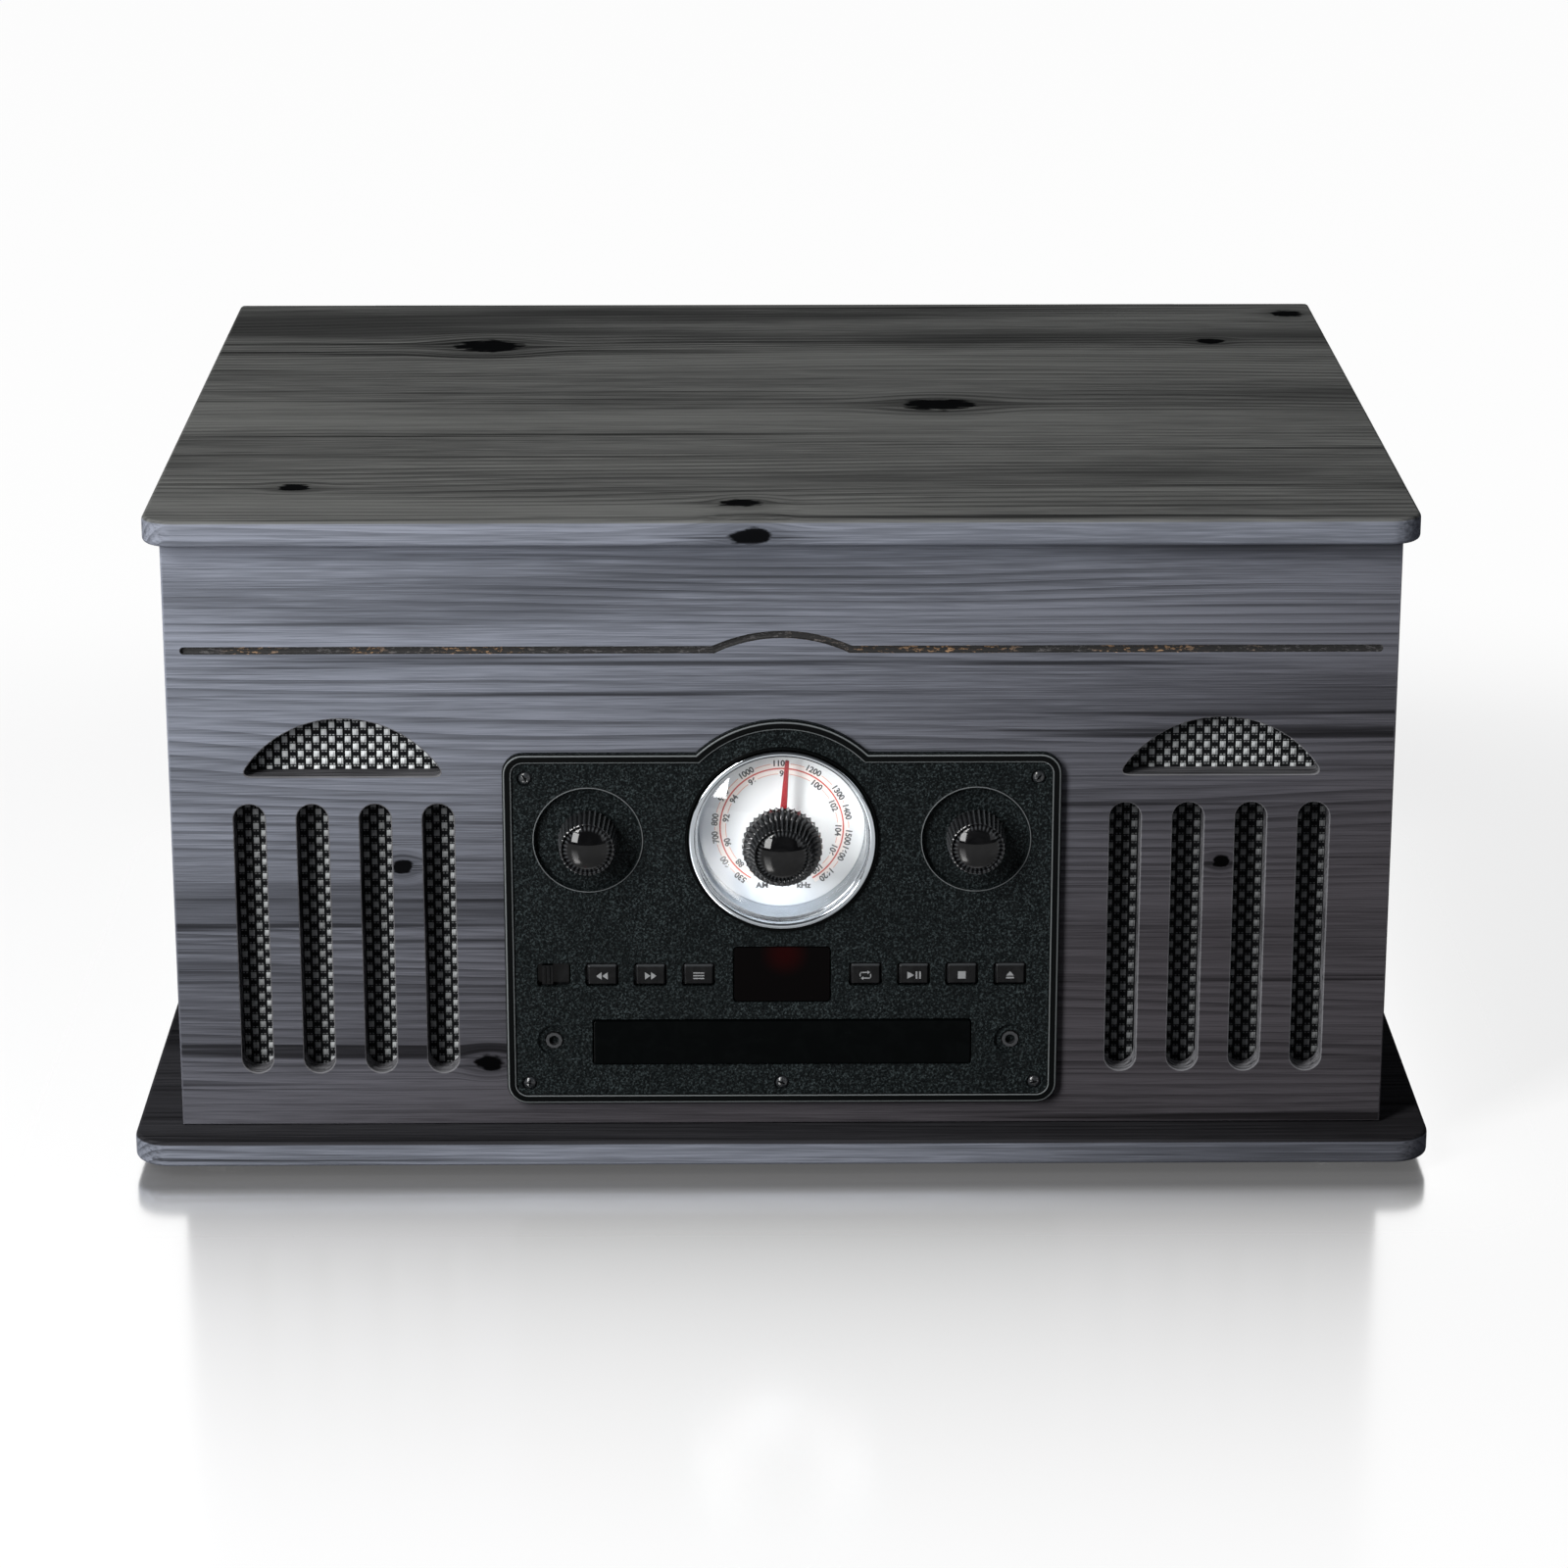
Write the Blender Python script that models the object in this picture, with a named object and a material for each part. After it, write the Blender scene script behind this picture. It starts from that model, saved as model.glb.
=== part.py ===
"""A retro music centre in stained black wood: a hinged lid over a belt-drive turntable, a radio dial,
a disc drawer and two front loudspeakers.

Metres, +Z up. The front faces -Y and X runs to the right. The origin is on the floor, under the middle
of the whole, from the tuning knob to the back of the base board. Every moving piece has its object
origin on its joint's axis.
"""

from math import acos, asin, cos, degrees, pi, radians, sin, sqrt

import bmesh
import bpy
from mathutils import Matrix, Vector

# General fits
clearance = 0.0003
overrun = 0.002
joining = 0.0005

# Cabinet
body_width = 0.418
body_depth = 0.337
body_height = 0.210
panel_thickness = 0.009
board_edge_radius = 0.0015
rear_corner_radius = 0.0022
base_thickness = 0.009
base_overhang = 0.016
base_rear_overhang = 0.010
base_corner_radius = 0.013
lid_thickness = 0.009
lid_side_overhang = 0.006
lid_front_overhang = 0.007
lid_corner_radius = 0.011
foot_radius = 0.012
foot_taper = 0.0015
foot_height = 0.005
foot_inset = 0.030
foot_screw_radius = 0.003
foot_screw_depth = 0.0025
cleat_width = 0.012
cleat_height = 0.012

# Groove across the front, with a low hump in the middle
groove_width = 0.0026
groove_depth = 0.0015
groove_height = 0.1725
groove_end_gap = 0.0054
hump_half_width = 0.0233
hump_rise = 0.0053

# Loudspeaker grilles
cloth_side_gap = 0.0072
cloth_fascia_gap = 0.0113
slot_edge_gap = 0.0040
slot_pitch = 0.0215
slot_width = 0.0107
slot_low = 0.0197
slot_high = 0.1177
moon_side_inset = 0.00825
moon_low = 0.1277
moon_rise_share = 0.295
cloth_low = 0.013
cloth_high = 0.153
cloth_thickness = 0.001
speaker_height = 0.0690
speaker_margin = 0.0010
speaker_flange = 0.0022
speaker_gasket_width = 0.0045
speaker_gasket_height = 0.0012
cone_depth = 0.016
dust_cap_radius = 0.012
dust_cap_rise = 0.005
basket_neck_share = 0.59
basket_depth = 0.026
magnet_share = 0.68
magnet_thickness = 0.014

# Fascia
fascia_width = 0.1910
fascia_low = 0.0089
fascia_high = 0.1363
fascia_corner_radius = 0.0072
arch_radius = 0.0426
fascia_proud = 0.0030
fascia_edge_radius = 0.0010
fascia_rim_width = 0.0030
fascia_rim_height = 0.0008
fascia_plate = 0.0025
fascia_wall = 0.0020
tub_inset = 0.0052
tub_depth = 0.0180
least_radius = 0.0004
control_height = 0.1055
screw_side_inset = 0.0079
screw_high = 0.1275
screw_low = 0.0163
screw_well_radius = 0.0027
screw_well_depth = 0.0010
screw_hole_radius = 0.0013

# Dial
dial_hole_radius = 0.0322
dial_lip_width = 0.0009
dial_lip_height = 0.0012
ring_proud = 0.0019
ring_width = 0.0019
ring_edge_radius = 0.0006
dial_depth = 0.0135
cup_rear_radius = 0.0283
cup_wall = 0.0012
dial_face_thickness = 0.0012
shaft_radius = 0.0030
shaft_hole_radius = 0.0038
lens_seat_depth = 0.0015
lens_thickness = 0.0014
lens_rise = 0.0065
lens_bore_radius = 0.0050
pointer_depth = 0.0075
pointer_thickness = 0.0010
pointer_length = 0.0258
pointer_root_width = 0.0026
pointer_tip_width = 0.0013
pointer_hub_radius = 0.0052
pointer_tilt = 4.0

# Tuning knob
tuning_flutes = 24
tuning_radius = 0.0138
tuning_step_radius = 0.0122
tuning_front_radius = 0.0098
tuning_cap_radius = 0.0089
tuning_skirt = 0.0052
tuning_length = 0.0205
tuning_dome = 0.0018

# Function and volume knobs
knob_place_share = 0.8314
dish_radius = 0.0185
dish_depth = 0.0020
dish_taper = 0.0006
dish_lip_width = 0.0005
dish_lip_height = 0.0005
knob_flutes = 20
knob_radius = 0.0104
knob_front_radius = 0.0095
knob_cap_radius = 0.0082
knob_proud = 0.0125
knob_dome = 0.0018
flute_share = 0.055

# Buttons, slide switch and display
button_row_height = 0.0562
button_first_share = 0.3016
button_pitch_share = 0.1743
button_hole_width = 0.01145
button_hole_height = 0.0086
button_hole_radius = 0.0013
button_front_inset = 0.0010
button_chamfer = 0.0007
button_sunk = 0.0002
button_flange = 0.0009
button_flange_thickness = 0.0008
button_travel = 0.0010
button_stem_radius = 0.0016
slide_nub_width = 0.0037
slide_nub_height = 0.0068
slide_travel = 0.0045
slide_nub_sunk = 0.0006
slide_plate_thickness = 0.0010
slide_plate_right = 0.0006
slide_plate_overlap = 0.0008
display_width = 0.0338
display_height = 0.0206
display_corner_radius = 0.0015
display_sunk = 0.0006
display_thickness = 0.0030

# Jack sockets
jack_side_inset = 0.0164
jack_height = 0.0320
jack_dish_radius = 0.0054
jack_dish_depth = 0.0013
jack_ring_radius = 0.0029
jack_bore_radius = 0.0018
jack_body_width = 0.0110
jack_body_height = 0.0100
jack_bore_depth = 0.0140

# Control board
board_thickness = 0.0016
board_margin = 0.0075
board_low = 0.0180
board_top = 0.1330
switch_side = 0.0060
pot_bush_radius = 0.0046
pot_bush_gap = 0.0010
pot_body_side = 0.0170
pot_body_depth = 0.0080
tuner_side = 0.0250
tuner_depth = 0.0180
display_module_depth = 0.0060

# Disc drawer and its mechanism
door_side_inset = 0.0303
door_height = 0.0158
door_middle = 0.0315
door_thickness = 0.0030
door_gap = 0.0004
door_sunk = 0.0002
door_corner_radius = 0.0006
tray_side_inset = 0.0022
tray_hold = 0.0250
tray_thickness = 0.0070
tray_drop = 0.0055
disc_recess_inset = 0.0025
disc_recess_depth = 0.0018
disc_recess_gap = 0.0070
tray_slot_width = 0.0320
drawer_travel = 0.1350
mechanism_wall = 0.0030
mechanism_ledge = 0.0020
mechanism_side_gap = 0.0005
mechanism_floor = 0.0020
mechanism_floor_drop = 0.0135
mechanism_rear_space = 0.0140
mechanism_leg_side = 0.0080
mechanism_bridge_width = 0.0240
mechanism_bridge_thickness = 0.0030
mechanism_bridge_gap = 0.0060
clamp_radius = 0.0140
clamp_gap = 0.0012
sled_window_width = 0.0360
sled_window_margin = 0.0040
rod_radius = 0.0014
rod_offset = 0.0105
sled_width = 0.0280
sled_length = 0.0240
sled_height = 0.0085
sled_lens_radius = 0.0035
sled_lens_rise = 0.0020
sled_first_radius = 0.0300
sled_travel = 0.0300
spindle_disc_radius = 0.0140
spindle_disc_thickness = 0.0016
spindle_hub_radius = 0.0073
spindle_hub_rise = 0.0022
spindle_shaft_radius = 0.0012
spindle_shaft_length = 0.0090
disc_motor_radius = 0.0100
disc_motor_gap = 0.0010

# Turntable
deck_drop = 0.0520
deck_thickness = 0.0030
platter_x = -0.0350
platter_offset_y = -0.0050
platter_radius = 0.1150
platter_rim = 0.0040
platter_plate = 0.0030
platter_height = 0.0120
platter_bevel = 0.0010
platter_hub_radius = 0.0090
belt_ring_inset = 0.0550
belt_ring_wall = 0.0030
belt_ring_height = 0.0085
mat_inset = 0.0085
mat_thickness = 0.0028
mat_recess = 0.0010
record_spindle_radius = 0.0035
record_spindle_rise = 0.0110
bearing_radius = 0.0105
bearing_depth = 0.0180
bearing_flange_radius = 0.0160
bearing_flange = 0.0015
motor_inset = 0.0250
motor_bearing = 150.0
motor_radius = 0.0180
motor_height = 0.0280
motor_shaft_radius = 0.0010
motor_shaft_seat = 0.0050
pulley_radius = 0.0050
pulley_flange_radius = 0.0064
pulley_flange = 0.0006
pulley_height = 0.0062
pulley_hole_radius = 0.0085
belt_width = 0.0045
belt_thickness = 0.0006

# Tonearm
pivot_side_gap = 0.0550
pivot_rear_gap = 0.0842
stylus_front_gap = 0.0292
arm_rise = 0.0330
arm_tube_radius = 0.0036
arm_bend_length = 0.0420
arm_base_radius = 0.0230
arm_base_flange = 0.0030
arm_column_radius = 0.0150
arm_column_height = 0.0230
gimbal_radius = 0.0130
gimbal_plate = 0.0020
gimbal_shaft_radius = 0.0030
gimbal_shaft_length = 0.0110
cheek_gap = 0.0078
cheek_thickness = 0.0030
cheek_depth = 0.0100
cheek_above_pivot = 0.0050
lift_pin_radius = 0.0012
arm_block_depth = 0.0180
arm_block_height = 0.0070
arm_stub_length = 0.0220
counterweight_radius = 0.0130
counterweight_length = 0.0220
counterweight_bevel = 0.0015
headshell_angle = 24.0
headshell_width = 0.0160
headshell_length = 0.0400
headshell_thickness = 0.0030
headshell_ahead = 0.0130
cartridge_width = 0.0140
cartridge_length = 0.0200
cartridge_height = 0.0112
stylus_radius = 0.0009
stylus_length = 0.0018
rest_to_stylus = 0.0800
rest_width = 0.0110
rest_depth = 0.0080
cue_offset = 0.0190
cue_forward = 0.0060
cue_bracket_thickness = 0.0030
cue_bracket_depth = 0.0080
cue_bracket_height = 0.0180
cue_pin_radius = 0.0015
cue_lever_length = 0.0240
cue_lever_width = 0.0050
cue_lever_thickness = 0.0025
speed_side_gap = 0.0980
speed_front_gap = 0.0222
speed_knob_width = 0.0100
speed_knob_depth = 0.0080
speed_knob_height = 0.0050
speed_stem_side = 0.0030
speed_travel = 0.0080
speed_foot_side = 0.0070
speed_foot_thickness = 0.0015

# Lid hinges and stay
hinge_side_inset = 0.0690
hinge_width = 0.0420
hinge_axis_drop = 0.0050
hinge_axis_out = 0.0035
knuckle_radius = 0.0030
hinge_pin_radius = 0.0013
leaf_thickness = 0.0014
cabinet_leaf_height = 0.0260
leaf_top_gap = 0.0006
stay_reach = 0.1100
lid_opening = 75.0
rail_thickness = 0.0025
rail_height = 0.0098
rail_end_margin = 0.0080
stay_pin_radius = 0.0016
stay_arm_width = 0.0070
stay_arm_thickness = 0.0020
stay_ear_thickness = 0.0020
stay_flange_width = 0.0140
stay_flange_length = 0.0200
stay_flange_thickness = 0.0018

# Power and amplifier parts
amplifier_width = 0.1100
amplifier_depth = 0.0850
amplifier_side_gap = 0.0120
amplifier_rear_gap = 0.0247
standoff_height = 0.0060
standoff_side = 0.0060
heat_sink_width = 0.0600
heat_sink_depth = 0.0120
heat_sink_height = 0.0300
capacitor_radius = 0.0080
capacitor_height = 0.0250
capacitor_pitch = 0.0220
transformer_side_gap = 0.0800
transformer_rear_gap = 0.0622
transformer_width = 0.0540
transformer_depth = 0.0300
transformer_height = 0.0450
coil_width = 0.0320
coil_depth = 0.0420
coil_height = 0.0300
transformer_foot_width = 0.0700
transformer_foot_thickness = 0.0020

# Back panel and its connector plate
vent_count = 7
vent_pitch = 0.0140
vent_width = 0.0035
vent_height = 0.0450
vent_middle = 0.1150
connector_side_gap = 0.0800
connector_height = 0.0480
connector_width = 0.0880
connector_plate_height = 0.0340
connector_thickness = 0.0020
connector_corner_radius = 0.0020
phono_offset = 0.0200
phono_pitch = 0.0140
phono_radius = 0.0042
phono_bore_radius = 0.0016
phono_length = 0.0070
phono_flange_radius = 0.0055
inlet_offset = -0.0200
inlet_width = 0.0170
inlet_height = 0.0088
inlet_depth = 0.0120
inlet_wall = 0.0020
inlet_pin_radius = 0.0012
inlet_pin_pitch = 0.0086
inlet_pin_length = 0.0090

# Facets on round shapes
round_steps = 20
large_round_steps = 40
small_round_steps = 10
corner_steps = 3
small_corner_steps = 1
edge_steps = 2

# Heights and depths that follow from the sizes above
base_bottom = foot_height
base_top = base_bottom + base_thickness
body_bottom = base_top + clearance
body_top = base_top + body_height
lid_bottom = body_top + clearance
lid_top = lid_bottom + lid_thickness
base_width = body_width + 2 * base_overhang
base_depth = base_overhang + body_depth + base_rear_overhang
knob_reach = tuning_length + fascia_proud - fascia_rim_height - base_overhang
base_front = (knob_reach - base_depth) / 2
base_back = (knob_reach + base_depth) / 2
body_front = base_front + base_overhang
body_back = body_front + body_depth
body_middle = (body_front + body_back) / 2
inside_half = body_width / 2 - panel_thickness
inside_front = body_front + panel_thickness + clearance
inside_back = body_back - panel_thickness - clearance
hinge_offset = body_width / 2 - hinge_side_inset
fascia_half = fascia_width / 2
tub_inner_half = fascia_half - tub_inset - fascia_wall
cloth_width = inside_half - fascia_half - cloth_side_gap - cloth_fascia_gap
grille_offset = inside_half - cloth_side_gap - cloth_width / 2
slot_count = 1 + int((cloth_width - 2 * slot_edge_gap - slot_width) / slot_pitch)
moon_width = cloth_width - 2 * moon_side_inset
moon_rise = moon_width * moon_rise_share
speaker_radius = cloth_width / 2 + speaker_margin
basket_neck_radius = speaker_radius * basket_neck_share
magnet_radius = speaker_radius * magnet_share
rim_front = body_front - fascia_proud
field_front = rim_front + fascia_rim_height
plate_back = field_front + fascia_plate
tub_back = body_front + tub_depth
board_front = tub_back + clearance
control_z = base_top + control_height
button_z = base_top + button_row_height
door_z = base_top + door_middle
jack_z = base_top + jack_height
screw_offset = fascia_half - screw_side_inset
jack_offset = fascia_half - jack_side_inset
button_first_offset = fascia_half * button_first_share
button_pitch = fascia_half * button_pitch_share
dial_lip_radius = dial_hole_radius + dial_lip_width
dish_lip_radius = dish_radius + dish_lip_width
knob_room = tub_inner_half - dial_lip_radius - 2 * dish_lip_radius
knob_offset = dial_lip_radius + dish_lip_radius + knob_room * knob_place_share
door_width = fascia_width - 2 * door_side_inset
tray_width = door_width - 2 * tray_side_inset
disc_recess_radius = tray_width / 2 - disc_recess_inset
deck_top = body_top - deck_drop
deck_bottom = deck_top - deck_thickness
platter_bottom = deck_top + clearance + bearing_flange + clearance
platter_plate_low = platter_bottom + platter_height - platter_plate
platter_top = platter_bottom + platter_height
mat_top = platter_top - mat_recess + clearance + mat_thickness
arm_z = deck_top + arm_rise
hinge_y = body_back + hinge_axis_out
hinge_z = body_top - hinge_axis_drop
tray_low = door_z - tray_drop + clearance
tray_front = rim_front + door_sunk + door_thickness
tray_length = drawer_travel + tray_hold
disc_y = tray_front + disc_recess_gap + disc_recess_radius
sled_window_length = sled_first_radius + sled_travel + sled_length / 2 + sled_window_margin
platter_y = body_middle + platter_offset_y
mat_radius = platter_radius - mat_inset
belt_ring_radius = platter_radius - belt_ring_inset
motor_distance = platter_radius - motor_inset
pivot_x = inside_half - pivot_side_gap
pivot_y = inside_back - pivot_rear_gap
arm_length = pivot_y - inside_front - stylus_front_gap
rest_distance = arm_length - rest_to_stylus
speed_x = inside_half - speed_side_gap
speed_y = inside_front + speed_front_gap
amplifier_x = inside_half - amplifier_side_gap - amplifier_width / 2
amplifier_y = inside_back - amplifier_rear_gap - amplifier_depth / 2
transformer_x = transformer_side_gap - inside_half
transformer_y = inside_back - transformer_rear_gap
connector_x = connector_side_gap - inside_half
motor_x = platter_x + motor_distance * cos(radians(motor_bearing))
motor_y = platter_y + motor_distance * sin(radians(motor_bearing))

# Finishes: colour, roughness, metallic
black_wood = ((0.045, 0.044, 0.050), 0.50, 0.0)
textured_black = ((0.022, 0.026, 0.027), 0.60, 0.0)
gloss_black = ((0.010, 0.010, 0.011), 0.12, 0.0)
grey_cloth = ((0.30, 0.30, 0.31), 0.90, 0.0)
soft_black = ((0.015, 0.015, 0.015), 0.85, 0.0)
chrome = ((0.80, 0.81, 0.82), 0.12, 1.0)
steel = ((0.55, 0.55, 0.56), 0.35, 1.0)
white_print = ((0.86, 0.87, 0.88), 0.40, 0.0)
clear_plastic = ((0.95, 0.96, 0.97), 0.03, 0.0)
red_plastic = ((0.55, 0.02, 0.03), 0.30, 0.0)
dark_red = ((0.05, 0.003, 0.005), 0.10, 0.0)
board_green = ((0.02, 0.14, 0.06), 0.45, 0.0)
cast_metal = ((0.42, 0.42, 0.43), 0.40, 1.0)
grey_plastic = ((0.10, 0.10, 0.10), 0.55, 0.0)


def paint(piece, finish):
    """Gives a piece its own material, and smooth shading with sharp edges kept."""
    colour, roughness, metallic = finish
    material = bpy.data.materials.new(piece.name)
    material.use_nodes = True
    shader = material.node_tree.nodes["Principled BSDF"]
    shader.inputs["Base Color"].default_value = (*colour, 1.0)
    shader.inputs["Roughness"].default_value = roughness
    shader.inputs["Metallic"].default_value = metallic
    material.diffuse_color = (*colour, 1.0)
    piece.data.materials.clear()
    piece.data.materials.append(material)
    piece.data.shade_smooth()
    piece.data.set_sharp_from_angle(angle=radians(35.0))
    return piece


def new_piece(name, shape):
    """Turns a bmesh into an object whose faces point outwards."""
    bmesh.ops.recalc_face_normals(shape, faces=shape.faces)
    mesh = bpy.data.meshes.new(name)
    shape.to_mesh(mesh)
    shape.free()
    piece = bpy.data.objects.new(name, mesh)
    bpy.context.scene.collection.objects.link(piece)
    return piece


def on_axis(axis, first, second, along):
    """A point from its two coordinates across an axis and the one along it."""
    order = {"X": (along, first, second), "Y": (first, along, second), "Z": (first, second, along)}
    return order[axis]


def arc(middle_u, middle_v, radius, start, end, steps):
    """Points along an arc, with its angles in degrees."""
    turns = [radians(start + (end - start) * i / steps) for i in range(steps + 1)]
    return [(middle_u + radius * cos(turn), middle_v + radius * sin(turn)) for turn in turns]


def rounded_rectangle(middle_u, middle_v, width, height, radius, steps=corner_steps):
    u = width / 2 - radius
    v = height / 2 - radius
    points = []
    for start, side_u, side_v in ((180.0, -1, -1), (270.0, 1, -1), (0.0, 1, 1), (90.0, -1, 1)):
        points += arc(middle_u + side_u * u, middle_v + side_v * v, radius, start, start + 90.0, steps)
    return points


def rectangle(middle_u, middle_v, width, height):
    u = width / 2
    v = height / 2
    return [(middle_u + a * u, middle_v + b * v) for a, b in ((-1, -1), (1, -1), (1, 1), (-1, 1))]


def loft(name, axis, rings):
    """A closed solid through rings of matching points, each ring a pair of outline and level."""
    shape = bmesh.new()
    loops = [[shape.verts.new(on_axis(axis, u, v, level)) for u, v in outline] for outline, level in rings]
    for lower, upper in zip(loops, loops[1:]):
        for i in range(len(lower)):
            j = (i + 1) % len(lower)
            shape.faces.new((lower[i], lower[j], upper[j], upper[i]))
    shape.faces.new(loops[0])
    shape.faces.new(loops[-1])
    return new_piece(name, shape)


def prism(name, axis, outline, low, high):
    return loft(name, axis, [(outline, low), (outline, high)])


def box(name, low, high):
    """A block between two corners, given in any order."""
    (x1, y1, z1), (x2, y2, z2) = low, high
    outline = rectangle((x1 + x2) / 2, (y1 + y2) / 2, abs(x2 - x1), abs(y2 - y1))
    return prism(name, "Z", outline, min(z1, z2), max(z1, z2))


def rounded_slab(name, axis, outline_at, low, high, low_round=0.0, high_round=0.0):
    """A solid between two levels. outline_at(inset) is its outline, drawn in where an end is rounded."""
    rings = []
    turns = [radians(90.0 * i / edge_steps) for i in range(edge_steps + 1)]
    if low_round:
        rings += [(outline_at(low_round * (1 - sin(t))), low + low_round * (1 - cos(t))) for t in turns]
    else:
        rings.append((outline_at(0.0), low))
    if high_round:
        rings += [(outline_at(high_round * (1 - cos(t))), high - high_round * (1 - sin(t))) for t in turns]
    else:
        rings.append((outline_at(0.0), high))
    return loft(name, axis, rings)


def turned(name, axis, centre, profile, steps=round_steps, flutes=0):
    """A turned solid. Each profile point is a radius, a distance along the axis from the centre and,
    where the surface is fluted, the share of the radius that the flutes cut in."""
    shape = bmesh.new()
    middle = {"X": (1, 2, 0), "Y": (0, 2, 1), "Z": (0, 1, 2)}[axis]
    middle_u, middle_v, start = (centre[i] for i in middle)
    steps = 2 * flutes if flutes else steps
    rings = []
    for radius, along, *cut in profile:
        if radius == 0:
            rings.append([shape.verts.new(on_axis(axis, middle_u, middle_v, start + along))])
            continue
        ring = []
        for i in range(steps):
            reach = radius * (1 - cut[0] * (i % 2)) if cut else radius
            turn = 2 * pi * i / steps
            u = middle_u + reach * cos(turn)
            v = middle_v + reach * sin(turn)
            ring.append(shape.verts.new(on_axis(axis, u, v, start + along)))
        rings.append(ring)
    pairs = list(zip(rings, rings[1:]))
    if len(rings[0]) > 1:
        pairs.append((rings[-1], rings[0]))
    for first, second in pairs:
        for i in range(steps):
            j = (i + 1) % steps
            corners = [first[i % len(first)], first[j % len(first)]]
            corners += [second[j % len(second)], second[i % len(second)]]
            corners = list(dict.fromkeys(corners))
            if len(corners) > 2:
                shape.faces.new(corners)
    return new_piece(name, shape)


def rod(name, axis, centre, radius, low, high, steps=round_steps):
    """A plain round bar, from low to high along its axis measured from the centre."""
    return turned(name, axis, centre, [(0, low), (radius, low), (radius, high), (0, high)], steps)


def swept_rod(name, points, radius):
    """A round rod along a path of points, with flat ends."""
    curve = bpy.data.curves.new(name, "CURVE")
    curve.dimensions = "3D"
    curve.bevel_depth = radius
    curve.bevel_resolution = 2
    curve.use_fill_caps = True
    spline = curve.splines.new("POLY")
    spline.points.add(len(points) - 1)
    for target, point in zip(spline.points, points):
        target.co = (*point, 1.0)
    guide = bpy.data.objects.new(name, curve)
    bpy.context.scene.collection.objects.link(guide)
    graph = bpy.context.evaluated_depsgraph_get()
    shape = bmesh.new()
    shape.from_mesh(guide.evaluated_get(graph).to_mesh())
    bmesh.ops.remove_doubles(shape, verts=shape.verts, dist=radius / 1000)
    bpy.data.objects.remove(guide, do_unlink=True)
    return new_piece(name, shape)


def combine(piece, others, operation):
    """Joins other solids to a piece, or cuts them from it, and removes them."""
    group = bpy.data.collections.new(f"{piece.name}_{operation}")
    for other in others:
        other.hide_render = True
        other.display_type = "WIRE"
        group.objects.link(other)
    change = piece.modifiers.new(operation, "BOOLEAN")
    change.operation = operation
    change.solver = "EXACT"
    change.operand_type = "COLLECTION"
    change.collection = group
    graph = bpy.context.evaluated_depsgraph_get()
    finished = bpy.data.meshes.new_from_object(piece.evaluated_get(graph))
    piece.modifiers.clear()
    piece.data = finished
    for other in others:
        bpy.data.objects.remove(other, do_unlink=True)
    bpy.data.collections.remove(group)
    return piece


def join(piece, *others):
    return combine(piece, others, "UNION")


def cut(piece, *others):
    return combine(piece, others, "DIFFERENCE")


def turn_about(piece, axis, angle, centre):
    """Turns a piece's mesh by an angle in degrees about a line through a point."""
    move = Matrix.Translation(Vector(centre))
    piece.data.transform(move @ Matrix.Rotation(radians(angle), 4, axis) @ move.inverted())
    return piece


def set_origin(piece, point):
    """Puts the object's origin on its joint's axis without moving its shape."""
    piece.data.transform(Matrix.Translation(-Vector(point)))
    piece.location = point
    return piece


# Cabinet


def board_outline(half_width, front, back, front_radius):
    """A board's plan: rounded at the front corners and nearly square at the back."""

    def outline_at(inset):
        half = half_width - inset
        near = front + inset
        far = back - inset
        rear = rear_corner_radius - inset
        round_front = front_radius - inset
        points = arc(-half + round_front, near + round_front, round_front, 180.0, 270.0, 2 * corner_steps)
        points += arc(half - round_front, near + round_front, round_front, 270.0, 360.0, 2 * corner_steps)
        points += arc(half - rear, far - rear, rear, 0.0, 90.0, 2)
        return points + arc(-half + rear, far - rear, rear, 90.0, 180.0, 2)

    return outline_at


def build_base_board():
    outline_at = board_outline(base_width / 2, base_front, base_back, base_corner_radius)
    board = rounded_slab(
        "base_board", "Z", outline_at, base_bottom, base_top, board_edge_radius, board_edge_radius
    )
    paint(board, black_wood)


def build_feet():
    """Four rubber feet under the corners of the base board, each with a sunk screw."""
    for depth_name, y in (("front", base_front + foot_inset), ("rear", base_back - foot_inset)):
        for side_name, side in (("left", -1), ("right", 1)):
            centre = (side * (base_width / 2 - foot_inset), y, 0.0)
            profile = [
                (0, foot_screw_depth),
                (foot_screw_radius, foot_screw_depth),
                (foot_screw_radius, 0.0),
                (foot_radius - foot_taper, 0.0),
                (foot_radius, foot_height - clearance),
                (0, foot_height - clearance),
            ]
            paint(turned(f"foot_{depth_name}_{side_name}", "Z", centre, profile), soft_black)


def groove_outline():
    """The groove's outline on the front face: straight runs that meet a low round hump."""
    half = groove_width / 2
    reach = body_width / 2 - groove_end_gap - half
    level = base_top + groove_height
    hump_radius = (hump_half_width**2 + hump_rise**2) / (2 * hump_rise)
    middle = level + hump_rise - hump_radius
    upper_spread = degrees(acos((level + half - middle) / (hump_radius + half)))
    lower_spread = degrees(acos((level - half - middle) / (hump_radius - half)))
    points = arc(-reach, level, half, 90.0, 270.0, corner_steps)
    points += arc(0.0, middle, hump_radius - half, 90.0 + lower_spread, 90.0 - lower_spread, 2 * corner_steps)
    points += arc(reach, level, half, 270.0, 450.0, corner_steps)
    points += arc(0.0, middle, hump_radius + half, 90.0 - upper_spread, 90.0 + upper_spread, 2 * corner_steps)
    return points


def moon_outline(middle_x):
    """A flat-bottomed half moon: one arc over a chord."""
    radius = ((moon_width / 2) ** 2 + moon_rise**2) / (2 * moon_rise)
    low = base_top + moon_low
    spread = degrees(asin(moon_width / 2 / radius))
    return arc(middle_x, low + moon_rise - radius, radius, 90.0 - spread, 90.0 + spread, 4 * corner_steps)


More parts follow.
